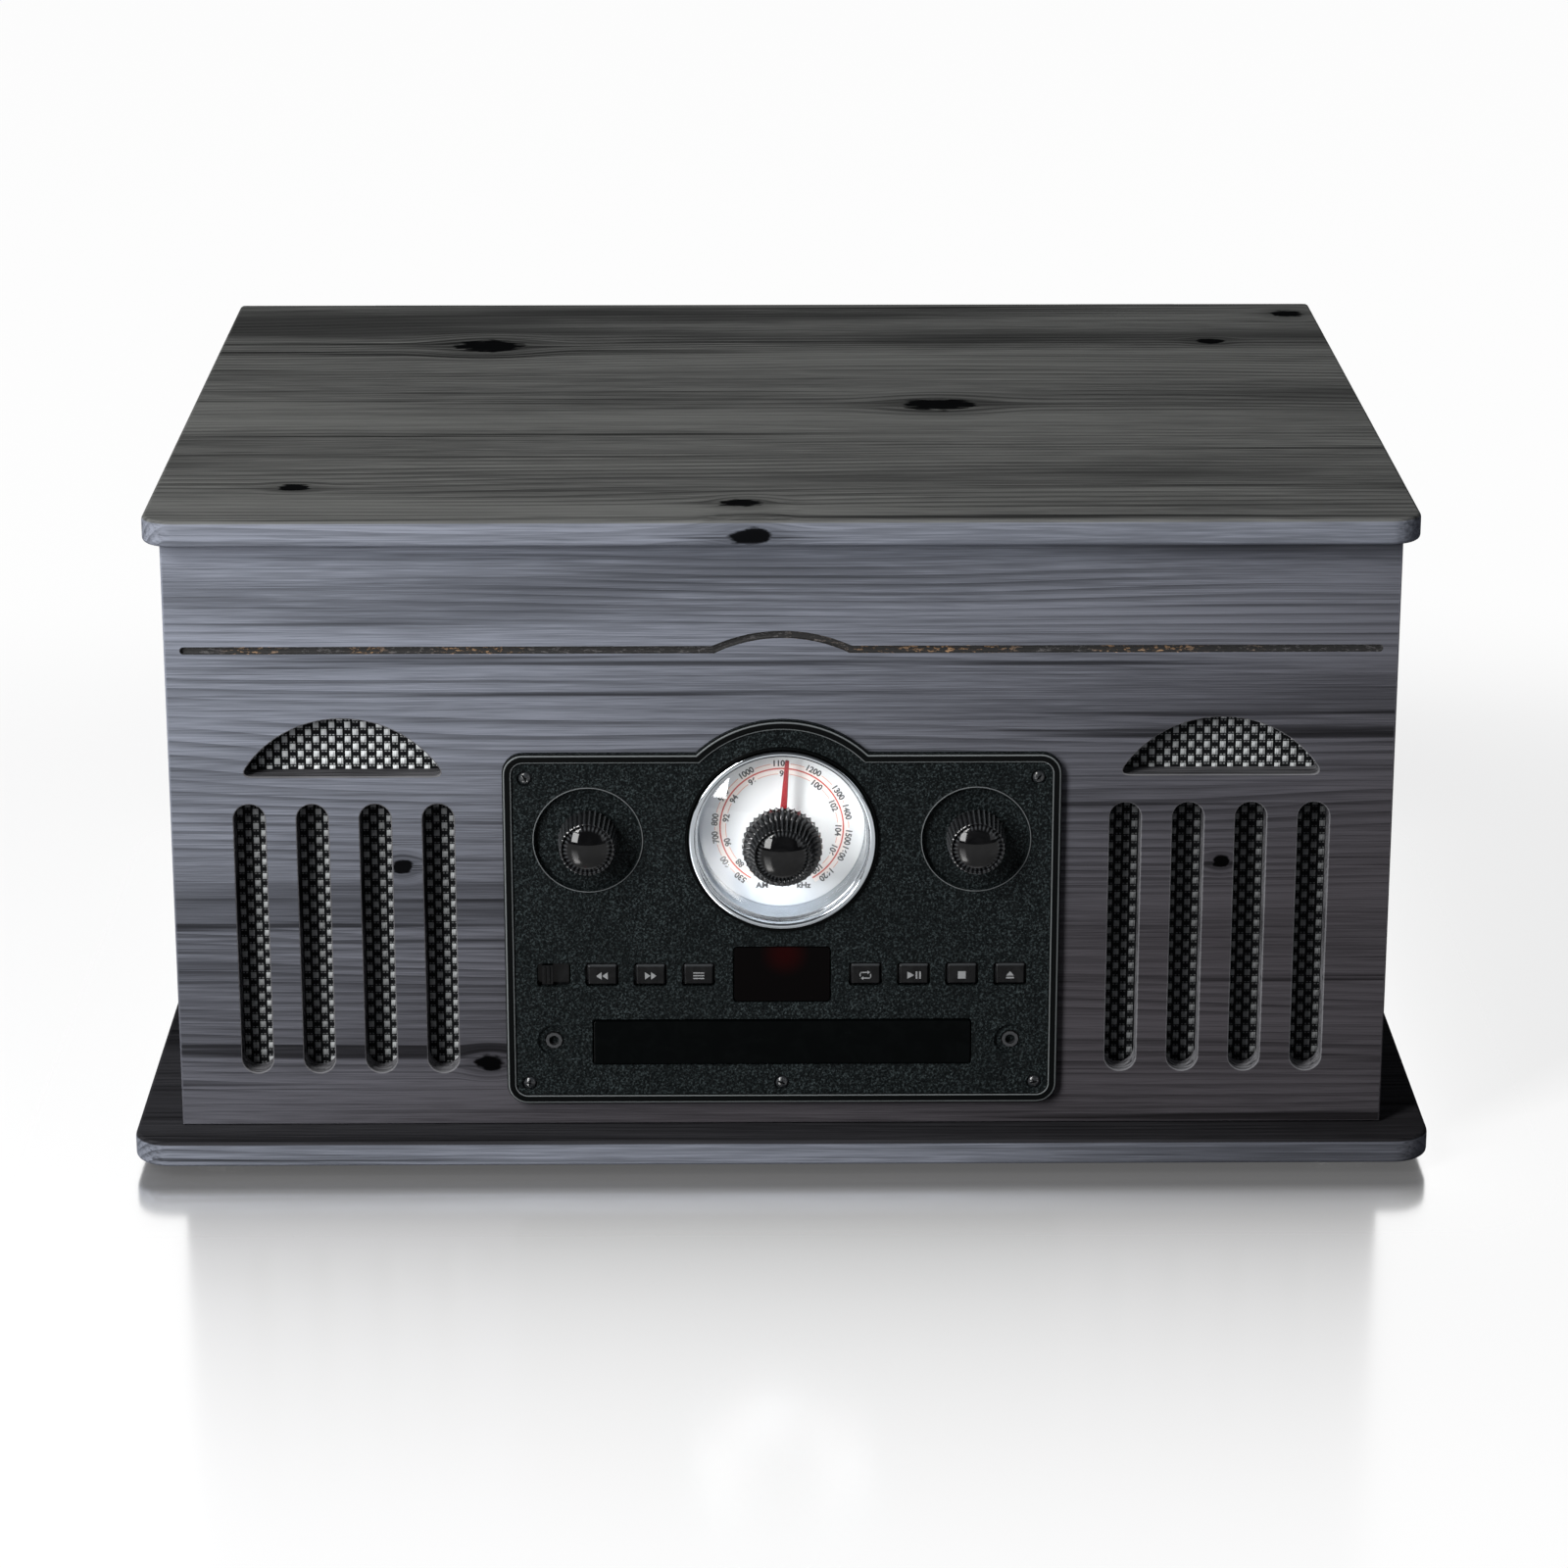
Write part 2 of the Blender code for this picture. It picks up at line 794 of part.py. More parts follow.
def build_front_panel():
    """The baffle board, routed through for the loudspeakers and the fascia."""
    back = body_front + panel_thickness
    middle = (body_bottom + body_top) / 2

    def outline_at(inset):
        return rectangle(0.0, middle, body_width - 2 * inset, body_top - body_bottom - 2 * inset)

    panel = rounded_slab("front_panel", "Y", outline_at, body_front, back, board_edge_radius)
    near = body_front - overrun
    far = back + overrun
    cutters = [prism("fascia_hole", "Y", fascia_outline(tub_inset - clearance), near, far)]
    slot_middle = base_top + (slot_low + slot_high) / 2
    for side in (-1, 1):
        cutters.append(prism("moon_hole", "Y", moon_outline(side * grille_offset), near, far))
        for i in range(slot_count):
            x = side * grille_offset + (i - (slot_count - 1) / 2) * slot_pitch
            height = slot_high - slot_low
            outline = rounded_rectangle(
                x, slot_middle, slot_width, height, slot_width / 2 - least_radius, 2 * corner_steps
            )
            cutters.append(prism("slot_hole", "Y", outline, near, far))
    cutters.append(prism("groove", "Y", groove_outline(), near, body_front + groove_depth))
    paint(cut(panel, *cutters), black_wood)


def build_side_panels():
    """The side panels, each with a glued cleat that carries the turntable deck."""
    front = body_front + panel_thickness + clearance
    cleat_top = deck_bottom - clearance
    for name, side in (("left_side_panel", -1), ("right_side_panel", 1)):
        outer = side * body_width / 2
        inner = side * inside_half
        panel = box(name, (outer, front, body_bottom), (inner, body_back, body_top))
        cleat = box(
            "cleat",
            (inner + side * joining, inside_front + cloth_thickness + clearance, cleat_top - cleat_height),
            (inner - side * cleat_width, inside_back, cleat_top),
        )
        paint(join(panel, cleat), black_wood)


def build_back_panel():
    """The back board between the sides, with air slots and a hole for the mains inlet."""
    half = inside_half - clearance
    front = body_back - panel_thickness
    panel = box("back_panel", (-half, front, body_bottom), (half, body_back, body_top))
    near = front - overrun
    far = body_back + overrun
    cutters = []
    for i in range(vent_count):
        x = (i - (vent_count - 1) / 2) * vent_pitch
        outline = rounded_rectangle(
            x, base_top + vent_middle, vent_width, vent_height, vent_width / 2 - least_radius, 2
        )
        cutters.append(prism("vent", "Y", outline, near, far))
    hole_width = inlet_width + 2 * inlet_wall + 2 * clearance
    hole_height = inlet_height + 2 * inlet_wall + 2 * clearance
    hole = rectangle(connector_x + inlet_offset, base_top + connector_height, hole_width, hole_height)
    cutters.append(prism("inlet_hole", "Y", hole, near, far))
    paint(cut(panel, *cutters), black_wood)


def build_lid():
    half = body_width / 2 + lid_side_overhang
    outline_at = board_outline(half, body_front - lid_front_overhang, body_back, lid_corner_radius)
    lid = rounded_slab("lid", "Z", outline_at, lid_bottom, lid_top, board_edge_radius, board_edge_radius)
    set_origin(paint(lid, black_wood), (0.0, hinge_y, hinge_z))


# Lid hinges and stay


def build_hinges():
    """Two butt hinges on the back. The pin is fixed in the cabinet leaf's two outer knuckles."""
    third = hinge_width / 3
    leaf_near = body_back + clearance
    leaf_far = leaf_near + leaf_thickness
    for name, side in (("left", -1), ("right", 1)):
        x = side * hinge_offset
        axis_point = (x, hinge_y, hinge_z)
        low = hinge_z - cabinet_leaf_height
        shoulder = hinge_z - knuckle_radius - clearance
        half = hinge_width / 2
        leaf = box(f"{name}_hinge_cabinet_leaf", (x - half, leaf_near, low), (x + half, leaf_far, shoulder))
        reach = half - joining
        additions = [rod("pin", "X", axis_point, hinge_pin_radius, -reach, reach, small_round_steps)]
        for end in (-1, 1):
            outer = x + end * half
            inner = x + end * (third / 2 + clearance)
            additions.append(box("tab", (outer, leaf_near, shoulder - joining), (inner, leaf_far, hinge_z)))
            span = sorted((outer - x, inner - x))
            additions.append(rod("knuckle", "X", axis_point, knuckle_radius, *span, small_round_steps))
        paint(join(leaf, *additions), steel)

        bottom = lid_bottom + leaf_top_gap
        top = lid_top - leaf_top_gap
        lid_leaf = box(f"{name}_hinge_lid_leaf", (x - half, leaf_near, bottom), (x + half, leaf_far, top))
        tab = box("tab", (x - third / 2, leaf_near, hinge_z), (x + third / 2, leaf_far, bottom + joining))
        knuckle = rod("knuckle", "X", axis_point, knuckle_radius, -third / 2, third / 2, small_round_steps)
        bore = rod("bore", "X", axis_point, hinge_pin_radius + clearance, -half, half, small_round_steps)
        paint(cut(join(lid_leaf, tab, knuckle), bore), steel)
        set_origin(lid_leaf, axis_point)


def build_lid_stay():
    """A slotted rail on the left side panel, and an arm whose pin runs in the slot.

    The arm is as long as the lid bracket's distance from the hinge axis, and the slot points at that
    axis. So the arm's pin follows the slot exactly while the arm turns twice as fast as the lid."""
    wall = -inside_half + clearance
    rail_face = wall + rail_thickness
    arm_low = rail_face + clearance
    arm_high = arm_low + stay_arm_thickness
    ear_low = arm_high + clearance
    ear_high = ear_low + stay_ear_thickness
    closed_y = hinge_y - 2 * stay_reach
    open_y = hinge_y - 2 * stay_reach * cos(radians(lid_opening))
    pivot = hinge_y - stay_reach

    length = open_y - closed_y
    middle = (open_y + closed_y) / 2
    rail_outline = rectangle(middle, hinge_z, length + 2 * rail_end_margin, rail_height)
    rail = prism("lid_stay_rail", "X", rail_outline, wall, rail_face)
    slot_half = stay_pin_radius + clearance
    slot_outline = rounded_rectangle(
        middle, hinge_z, length + 2 * slot_half, 2 * slot_half, slot_half - least_radius
    )
    slot = prism("slot", "X", slot_outline, wall - overrun, rail_face + overrun)
    paint(cut(rail, slot), steel)

    half = stay_arm_width / 2
    arm_outline = arc(closed_y, hinge_z, half, 90.0, 270.0, 2 * corner_steps)
    arm_outline += arc(pivot, hinge_z, half, -90.0, 90.0, 2 * corner_steps)
    arm = prism("lid_stay_arm", "X", arm_outline, arm_low, arm_high)
    pin_place = (0.0, closed_y, hinge_z)
    pin = rod(
        "pin", "X", pin_place, stay_pin_radius, wall + clearance, arm_low + joining, small_round_steps
    )
    hole = rod(
        "hole",
        "X",
        (0.0, pivot, hinge_z),
        stay_pin_radius + clearance,
        arm_low - overrun,
        arm_high + overrun,
        small_round_steps,
    )
    paint(cut(join(arm, pin), hole), steel)
    set_origin(arm, (arm_low, pivot, hinge_z))

    flange_high = lid_bottom - clearance
    flange_low = flange_high - stay_flange_thickness
    near = pivot - stay_flange_length / 2
    far = pivot + stay_flange_length / 2
    flange_side = ear_low + stay_flange_width
    bracket = box("lid_stay_bracket", (ear_low, near, flange_low), (flange_side, far, flange_high))
    ear_outline = arc(pivot, hinge_z, half, 180.0, 360.0, 2 * corner_steps)
    ear_outline += [(pivot + half, flange_low + joining), (pivot - half, flange_low + joining)]
    ear = prism("ear", "X", ear_outline, ear_low, ear_high)
    stud = rod(
        "stud", "X", (0.0, pivot, hinge_z), stay_pin_radius, arm_low, ear_low + joining, small_round_steps
    )
    paint(join(bracket, ear, stud), steel)
    set_origin(bracket, (ear_low, hinge_y, hinge_z))


# Loudspeakers


def build_loudspeakers():
    """A driver behind each grille, clamped over a stretched cloth."""
    cloth_front = body_front + panel_thickness + clearance
    cloth_back = cloth_front + cloth_thickness
    for name, side in (("left", -1), ("right", 1)):
        x = side * grille_offset
        low = base_top + cloth_low
        high = base_top + cloth_high
        half = cloth_width / 2
        cloth = box(f"{name}_grille_cloth", (x - half, cloth_front, low), (x + half, cloth_back, high))
        paint(cloth, grey_cloth)

        gasket = cloth_back + clearance
        flange_front = gasket + speaker_gasket_height
        flange_back = flange_front + speaker_flange
        gasket_radius = speaker_radius - speaker_gasket_width
        neck = flange_back + basket_depth
        profile = [
            (0, cone_depth - dust_cap_rise),
            (dust_cap_radius * cos(radians(45.0)), cone_depth - dust_cap_rise * sin(radians(45.0))),
            (dust_cap_radius, cone_depth),
            (gasket_radius, speaker_gasket_height),
            (gasket_radius, 0.0),
            (speaker_radius, 0.0),
            (speaker_radius, flange_back - gasket),
            (gasket_radius, flange_back - gasket),
            (basket_neck_radius, neck - gasket),
            (magnet_radius, neck - gasket),
            (magnet_radius, neck - gasket + magnet_thickness),
            (0, neck - gasket + magnet_thickness),
        ]
        centre = (x, gasket, base_top + speaker_height)
        paint(turned(f"{name}_loudspeaker", "Y", centre, profile, large_round_steps // 2), soft_black)


# Fascia


def fascia_outline(inset):
    """The fascia's outline, drawn in by an inset: a rounded rectangle with an arch over the dial."""
    half = fascia_half - inset
    low = base_top + fascia_low + inset
    high = base_top + fascia_high - inset
    radius = max(fascia_corner_radius - inset, least_radius)
    arch = arch_radius - inset
    foot = degrees(asin((high - control_z) / arch))
    points = arc(-half + radius, low + radius, radius, 180.0, 270.0, corner_steps)
    points += arc(half - radius, low + radius, radius, 270.0, 360.0, corner_steps)
    points += arc(half - radius, high - radius, radius, 0.0, 90.0, corner_steps)
    points += arc(0.0, control_z, arch, foot, 180.0 - foot, 4 * corner_steps)
    return points + arc(-half + radius, high - radius, radius, 90.0, 180.0, corner_steps)


def button_places():
    """The middle of each push button and, first, of the slide switch."""
    outward = [button_first_offset + i * button_pitch for i in range(4)]
    return [-x for x in reversed(outward)] + outward


def fascia_shell():
    """The moulding before its wells: a rimmed front plate with a wall that passes through the panel."""
    inner = tub_inset + fascia_wall
    edge = [radians(90.0 * i / edge_steps) for i in range(edge_steps + 1)]
    rings = [
        (fascia_outline(inner), plate_back),
        (fascia_outline(inner), tub_back),
        (fascia_outline(tub_inset), tub_back),
        (fascia_outline(tub_inset), body_front - clearance),
        (fascia_outline(0.0), body_front - clearance),
    ]
    for turn in edge:
        inset = fascia_edge_radius * (1 - cos(turn))
        rings.append((fascia_outline(inset), rim_front + fascia_edge_radius * (1 - sin(turn))))
    rings.append((fascia_outline(fascia_rim_width), rim_front))
    rings.append((fascia_outline(fascia_rim_width + fascia_rim_height / 2), field_front))
    return loft("fascia", "Y", rings)


def build_fascia():
    shell = fascia_shell()
    additions = []
    cutters = []
    behind = plate_back + overrun

    # The dial opening has a raised lip round it.
    centre = (0.0, field_front, control_z)
    additions.append(
        rod("dial_lip", "Y", centre, dial_lip_radius, -dial_lip_height, fascia_plate / 2, large_round_steps)
    )
    near = -dial_lip_height - overrun
    far = fascia_plate + overrun
    cutters.append(rod("dial_hole", "Y", centre, dial_hole_radius, near, far, large_round_steps))

    # Each small knob stands in a shallow dish with a thin lip.
    for side in (-1, 1):
        centre = (side * knob_offset, field_front, control_z)
        backing = dish_depth + fascia_wall
        steps = large_round_steps // 2
        additions.append(rod("dish_lip", "Y", centre, dish_lip_radius, -dish_lip_height, backing, steps))
        floor_radius = dish_radius - dish_taper
        profile = [
            (0, backing + overrun),
            (shaft_hole_radius, backing + overrun),
            (shaft_hole_radius, dish_depth),
            (floor_radius, dish_depth),
            (dish_radius, -dish_lip_height),
            (dish_radius, -dish_lip_height - overrun),
            (0, -dish_lip_height - overrun),
        ]
        cutters.append(turned("dish", "Y", centre, profile, steps))
        jack_centre = (side * jack_offset, field_front, jack_z)
        jack_backing = jack_dish_depth + fascia_wall
        boss_radius = jack_dish_radius + fascia_wall
        additions.append(
            rod("jack_boss", "Y", jack_centre, boss_radius, fascia_plate / 2, jack_backing, small_round_steps)
        )
        ring_hole = jack_ring_radius + clearance
        profile = [
            (0, jack_backing + overrun),
            (ring_hole, jack_backing + overrun),
            (ring_hole, jack_dish_depth),
            (jack_dish_radius, jack_dish_depth),
            (jack_dish_radius, -overrun),
            (0, -overrun),
        ]
        cutters.append(turned("jack_dish", "Y", jack_centre, profile, small_round_steps))

    for x in button_places():
        outline = rounded_rectangle(
            x, button_z, button_hole_width, button_hole_height, button_hole_radius, small_corner_steps
        )
        cutters.append(prism("button_hole", "Y", outline, field_front - overrun, behind))
    window = rounded_rectangle(0.0, button_z, display_width, display_height, display_corner_radius)
    cutters.append(prism("display_hole", "Y", window, field_front - overrun, behind))
    door = rounded_rectangle(
        0.0,
        door_z,
        door_width + 2 * door_gap,
        door_height + 2 * door_gap,
        door_corner_radius + door_gap,
        small_corner_steps,
    )
    cutters.append(prism("door_hole", "Y", door, field_front - overrun, behind))
    for x, height in screw_places():
        centre = (x, field_front, base_top + height)
        profile = [
            (0, fascia_plate + overrun),
            (screw_hole_radius, fascia_plate + overrun),
            (screw_hole_radius, screw_well_depth),
            (screw_well_radius, screw_well_depth),
            (screw_well_radius, -overrun),
            (0, -overrun),
        ]
        cutters.append(turned("screw_well", "Y", centre, profile, small_round_steps))
    paint(cut(join(shell, *additions), *cutters), textured_black)


def screw_places():
    """The five fascia screws: four near the corners and one in the middle of the lower edge."""
    corners = [(side * screw_offset, height) for side in (-1, 1) for height in (screw_high, screw_low)]
    return corners + [(0.0, screw_low)]


# Dial


def build_dial():
    """A chromed ring with a funnel behind it, a printed face, a clear lens and a red pointer."""
    centre = (0.0, field_front, control_z)
    outer = dial_hole_radius - clearance
    inner = outer - ring_width
    rear = dial_depth - clearance
    profile = [
        (inner, -ring_proud + ring_edge_radius),
        (inner + ring_edge_radius, -ring_proud),
        (outer - ring_edge_radius, -ring_proud),
        (outer, -ring_proud + ring_edge_radius),
        (outer, fascia_plate),
        (cup_rear_radius + cup_wall, rear),
        (cup_rear_radius, rear),
        (inner - cup_wall, lens_seat_depth + lens_thickness + clearance),
        (inner, lens_seat_depth + lens_thickness + clearance),
    ]
    paint(turned("dial_trim_ring", "Y", centre, profile, large_round_steps), chrome)

    face_radius = cup_rear_radius + cup_wall
    profile = [
        (shaft_hole_radius, dial_depth),
        (face_radius, dial_depth),
        (face_radius, dial_depth + dial_face_thickness),
        (shaft_hole_radius, dial_depth + dial_face_thickness),
    ]
    paint(turned("dial_face", "Y", centre, profile, large_round_steps), white_print)

    lens_radius = inner - clearance
    sphere = (lens_radius**2 + lens_rise**2) / (2 * lens_rise)
    base = lens_seat_depth + lens_thickness
    reaches = [lens_radius + (lens_bore_radius - lens_radius) * i / edge_steps for i in range(edge_steps + 1)]

    def crown(reach):
        return sqrt(sphere**2 - reach**2) - (sphere - lens_rise)

    front = [(reach, base - lens_thickness - crown(reach)) for reach in reaches]
    back = [(reach, base - crown(reach)) for reach in reversed(reaches)]
    paint(turned("dial_lens", "Y", centre, front + back, large_round_steps), clear_plastic)

    middle = pointer_depth
    hub = turned(
        "dial_pointer",
        "Y",
        centre,
        [
            (shaft_radius + clearance, middle - pointer_thickness),
            (pointer_hub_radius, middle - pointer_thickness),
            (pointer_hub_radius, middle + pointer_thickness),
            (shaft_radius + clearance, middle + pointer_thickness),
        ],
    )
    root = control_z + pointer_hub_radius - joining
    tip = control_z + pointer_length
    needle_outline = [
        (-pointer_root_width / 2, root),
        (pointer_root_width / 2, root),
        (pointer_tip_width / 2, tip),
        (-pointer_tip_width / 2, tip),
    ]
    depth = field_front + middle
    needle = prism(
        "needle", "Y", needle_outline, depth - pointer_thickness / 2, depth + pointer_thickness / 2
    )
    pointer = turn_about(join(hub, needle), "Y", pointer_tilt, centre)
    set_origin(paint(pointer, red_plastic), (0.0, depth, control_z))


def build_tuning_knob():
    """The stepped, fluted knob in front of the lens, on the shaft that turns the tuner."""
    centre = (0.0, field_front, control_z)
    back = lens_seat_depth - lens_rise - clearance
    skirt = back - tuning_skirt
    front = -tuning_length + tuning_dome
    shaft_end = board_front - field_front - clearance
    profile = [
        (0, -tuning_length),
        (tuning_cap_radius * cos(radians(45.0)), -tuning_length + tuning_dome * (1 - sin(radians(45.0)))),
        (tuning_cap_radius, front),
        (tuning_front_radius, front + joining, flute_share),
        (tuning_step_radius, skirt, flute_share),
        (tuning_radius, skirt, flute_share),
        (tuning_radius, back, flute_share),
        (shaft_radius, back),
        (shaft_radius, shaft_end),
        (0, shaft_end),
    ]
    knob = turned("tuning_knob", "Y", centre, profile, flutes=tuning_flutes)
    set_origin(paint(knob, gloss_black), centre)


def build_small_knobs():
    """The function knob on the left and the volume knob on the right."""
    for name, side in (("function_knob", -1), ("volume_knob", 1)):
        centre = (side * knob_offset, field_front, control_z)
        back = dish_depth - clearance
        front = -knob_proud + knob_dome
        shaft_end = board_front - field_front - clearance
        profile = [
            (0, -knob_proud),
            (knob_cap_radius * cos(radians(45.0)), -knob_proud + knob_dome * (1 - sin(radians(45.0)))),
            (knob_cap_radius, front),
            (knob_front_radius, front + joining, flute_share),
            (knob_radius, back, flute_share),
            (shaft_radius, back),
            (shaft_radius, shaft_end),
            (0, shaft_end),
        ]
        knob = turned(name, "Y", centre, profile, flutes=knob_flutes)
        set_origin(paint(knob, gloss_black), centre)


# Buttons, slide switch, display and sockets


def build_buttons():
    """Seven push buttons, each a chamfered cap with a retaining flange and a stem to its switch."""
    names = (
        "back_button",
        "forward_button",
        "program_button",
        "repeat_button",
        "play_button",
        "stop_button",
        "eject_button",
    )
    width = button_hole_width - 2 * clearance
    height = button_hole_height - 2 * clearance
    front = field_front + button_sunk
    flange_front = plate_back + clearance
    flange_back = flange_front + button_flange_thickness
    stem_end = board_front - switch_height() - button_travel - clearance
    for name, x in zip(names, button_places()[1:]):

        def outline_at(inset, middle=x):
            radius = max(button_hole_radius - clearance - inset, least_radius)
            return rounded_rectangle(
                middle, button_z, width - 2 * inset, height - 2 * inset, radius, small_corner_steps
            )

        rings = [
            (outline_at(button_front_inset), front),
            (outline_at(button_front_inset - button_chamfer), front + button_chamfer),
            (outline_at(0.0), front + 2 * button_chamfer),
            (outline_at(0.0), flange_front),
            (outline_at(-button_flange), flange_front),
            (outline_at(-button_flange), flange_back),
        ]
        cap = loft(name, "Y", rings)
        stem_start = flange_back - joining
        place = (x, 0.0, button_z)
        stem = rod("stem", "Y", place, button_stem_radius, stem_start, stem_end, small_round_steps)
        set_origin(paint(join(cap, stem), gloss_black), (x, front, button_z))


def switch_height():
    """How far a push switch stands off the control board."""
    return switch_side * 2 / 3


def build_slide_switch():
    """A nub on a thin plate that slides behind the fascia, at the left end of its travel."""
    left = button_places()[0]
    x = left - slide_travel / 2
    low = button_z - slide_nub_height / 2
    high = button_z + slide_nub_height / 2
    plate_front = plate_back + clearance
    plate_rear = plate_front + slide_plate_thickness
    half_height = button_hole_height / 2 + slide_plate_overlap
    plate = box(
        "slide_switch",
        (2 * clearance - tub_inner_half, plate_front, button_z - half_height),
        (left + button_hole_width / 2 - slide_plate_right, plate_rear, button_z + half_height),
    )
    half_nub = slide_nub_width / 2
    nub = box(
        "nub", (x - half_nub, field_front + slide_nub_sunk, low), (x + half_nub, plate_front + joining, high)
    )
    set_origin(paint(join(plate, nub), gloss_black), (x, plate_front, button_z))


def build_display():
    """The dark red window, let into the fascia."""
    front = field_front + display_sunk
    width = display_width - 2 * clearance
    height = display_height - 2 * clearance

    def outline_at(inset):
        radius = max(display_corner_radius - clearance - inset, least_radius)
        return rounded_rectangle(0.0, button_z, width - 2 * inset, height - 2 * inset, radius)

    window = rounded_slab(
        "display_window", "Y", outline_at, front, front + display_thickness, display_sunk / 2
    )
    paint(window, dark_red)


def build_jacks():
    """The two sockets beside the drawer, each a block with a metal-ringed bore through the fascia."""
    for name, side in (("headphone_jack", -1), ("line_in_jack", 1)):
        x = side * jack_offset
        body_front_face = field_front + jack_dish_depth + fascia_wall + clearance
        body_rear = board_front - clearance
        half_width = jack_body_width / 2
        half_height = jack_body_height / 2
        body = box(
            name,
            (x - half_width, body_front_face, jack_z - half_height),
            (x + half_width, body_rear, jack_z + half_height),
        )
        centre = (x, 0.0, jack_z)
        ring_front = field_front + jack_dish_depth / 2
        ring = rod(
            "ring", "Y", centre, jack_ring_radius, ring_front, body_front_face + joining, round_steps // 2
        )
        bore_end = min(ring_front + jack_bore_depth, body_rear - fascia_wall)
        bore = rod("bore", "Y", centre, jack_bore_radius, ring_front - overrun, bore_end, small_round_steps)
        paint(cut(join(body, ring), bore), grey_plastic)


def build_control_board():
    """The upright circuit board behind the fascia, with its switches, controls, tuner and display."""
    half = fascia_half - board_margin
    low = base_top + board_low
    high = base_top + board_top
    notch_half = tray_width / 2 + mechanism_side_gap + mechanism_wall + 2 * joining
    notch_high = tray_low + tray_thickness + mechanism_bridge_gap + mechanism_bridge_thickness + 2 * joining
    outline = [
        (-half, low),
        (-notch_half, low),
        (-notch_half, notch_high),
        (notch_half, notch_high),
        (notch_half, low),
        (half, low),
        (half, high),
        (-half, high),
    ]
    front = board_front
    back = front + board_thickness
    board = prism("control_board", "Y", outline, front, back)
    additions = []
    for x in button_places()[1:]:
        half_side = switch_side / 2
        near = (x - half_side, front - switch_height(), button_z - half_side)
        far = (x + half_side, front + board_thickness / 2, button_z + half_side)
        additions.append(box("push_switch", near, far))
    module_half = display_width / 2
    module_height = display_height / 2
    additions.append(
        box(
            "display_module",
            (-module_half, front - display_module_depth, button_z - module_height),
            (module_half, front + board_thickness / 2, button_z + module_height),
        )
    )
    bore = shaft_radius + clearance
    bushes = [
        (-knob_offset, field_front + dish_depth + fascia_wall + pot_bush_gap),
        (knob_offset, field_front + dish_depth + fascia_wall + pot_bush_gap),
        (0.0, field_front + dial_depth + dial_face_thickness + pot_bush_gap),
    ]
    for x, start in bushes:
        centre = (x, 0.0, control_z)
        end = front + board_thickness / 2
        profile = [(bore, start), (pot_bush_radius, start), (pot_bush_radius, end), (bore, end)]
        additions.append(turned("bush", "Y", centre, profile, small_round_steps))
    for x, side, depth in (
        (-knob_offset, pot_body_side, pot_body_depth),
        (knob_offset, pot_body_side, pot_body_depth),
        (0.0, tuner_side, tuner_depth),
    ):
        near = (x - side / 2, back - board_thickness / 2, control_z - side / 2)
        additions.append(box("control_body", near, (x + side / 2, back + depth, control_z + side / 2)))
    paint(join(board, *additions), board_green)


# Disc drawer and mechanism


def build_drawer():
    """The drawer: a gloss front and a tray with a disc recess and a slot for the spindle and laser."""
    front = rim_front + door_sunk

    def door_outline(inset):
        radius = max(door_corner_radius - inset, least_radius / 2)
        return rounded_rectangle(
            0.0, door_z, door_width - 2 * inset, door_height - 2 * inset, radius, small_corner_steps
        )

    drawer = rounded_slab(
        "disc_drawer", "Y", door_outline, front, front + door_thickness, door_corner_radius / 2
    )
    half = tray_width / 2
    tray_top = tray_low + tray_thickness
    tray = box("tray", (-half, tray_front - joining, tray_low), (half, tray_front + tray_length, tray_top))
    recess = rod(
        "recess",
        "Z",
        (0.0, disc_y, tray_top),
        disc_recess_radius,
        -disc_recess_depth,
        overrun,
        large_round_steps,
    )
    slot_half = tray_slot_width / 2
    slot_outline = arc(0.0, disc_y, slot_half, 180.0, 360.0, 2 * corner_steps)
    far = tray_front + tray_length + overrun
    slot_outline += [(slot_half, far), (-slot_half, far)]
    slot = prism("slot", "Z", slot_outline, tray_low - overrun, tray_top + overrun)
    cut(tray, recess, slot)
    set_origin(paint(join(drawer, tray), gloss_black), (0.0, front, door_z))


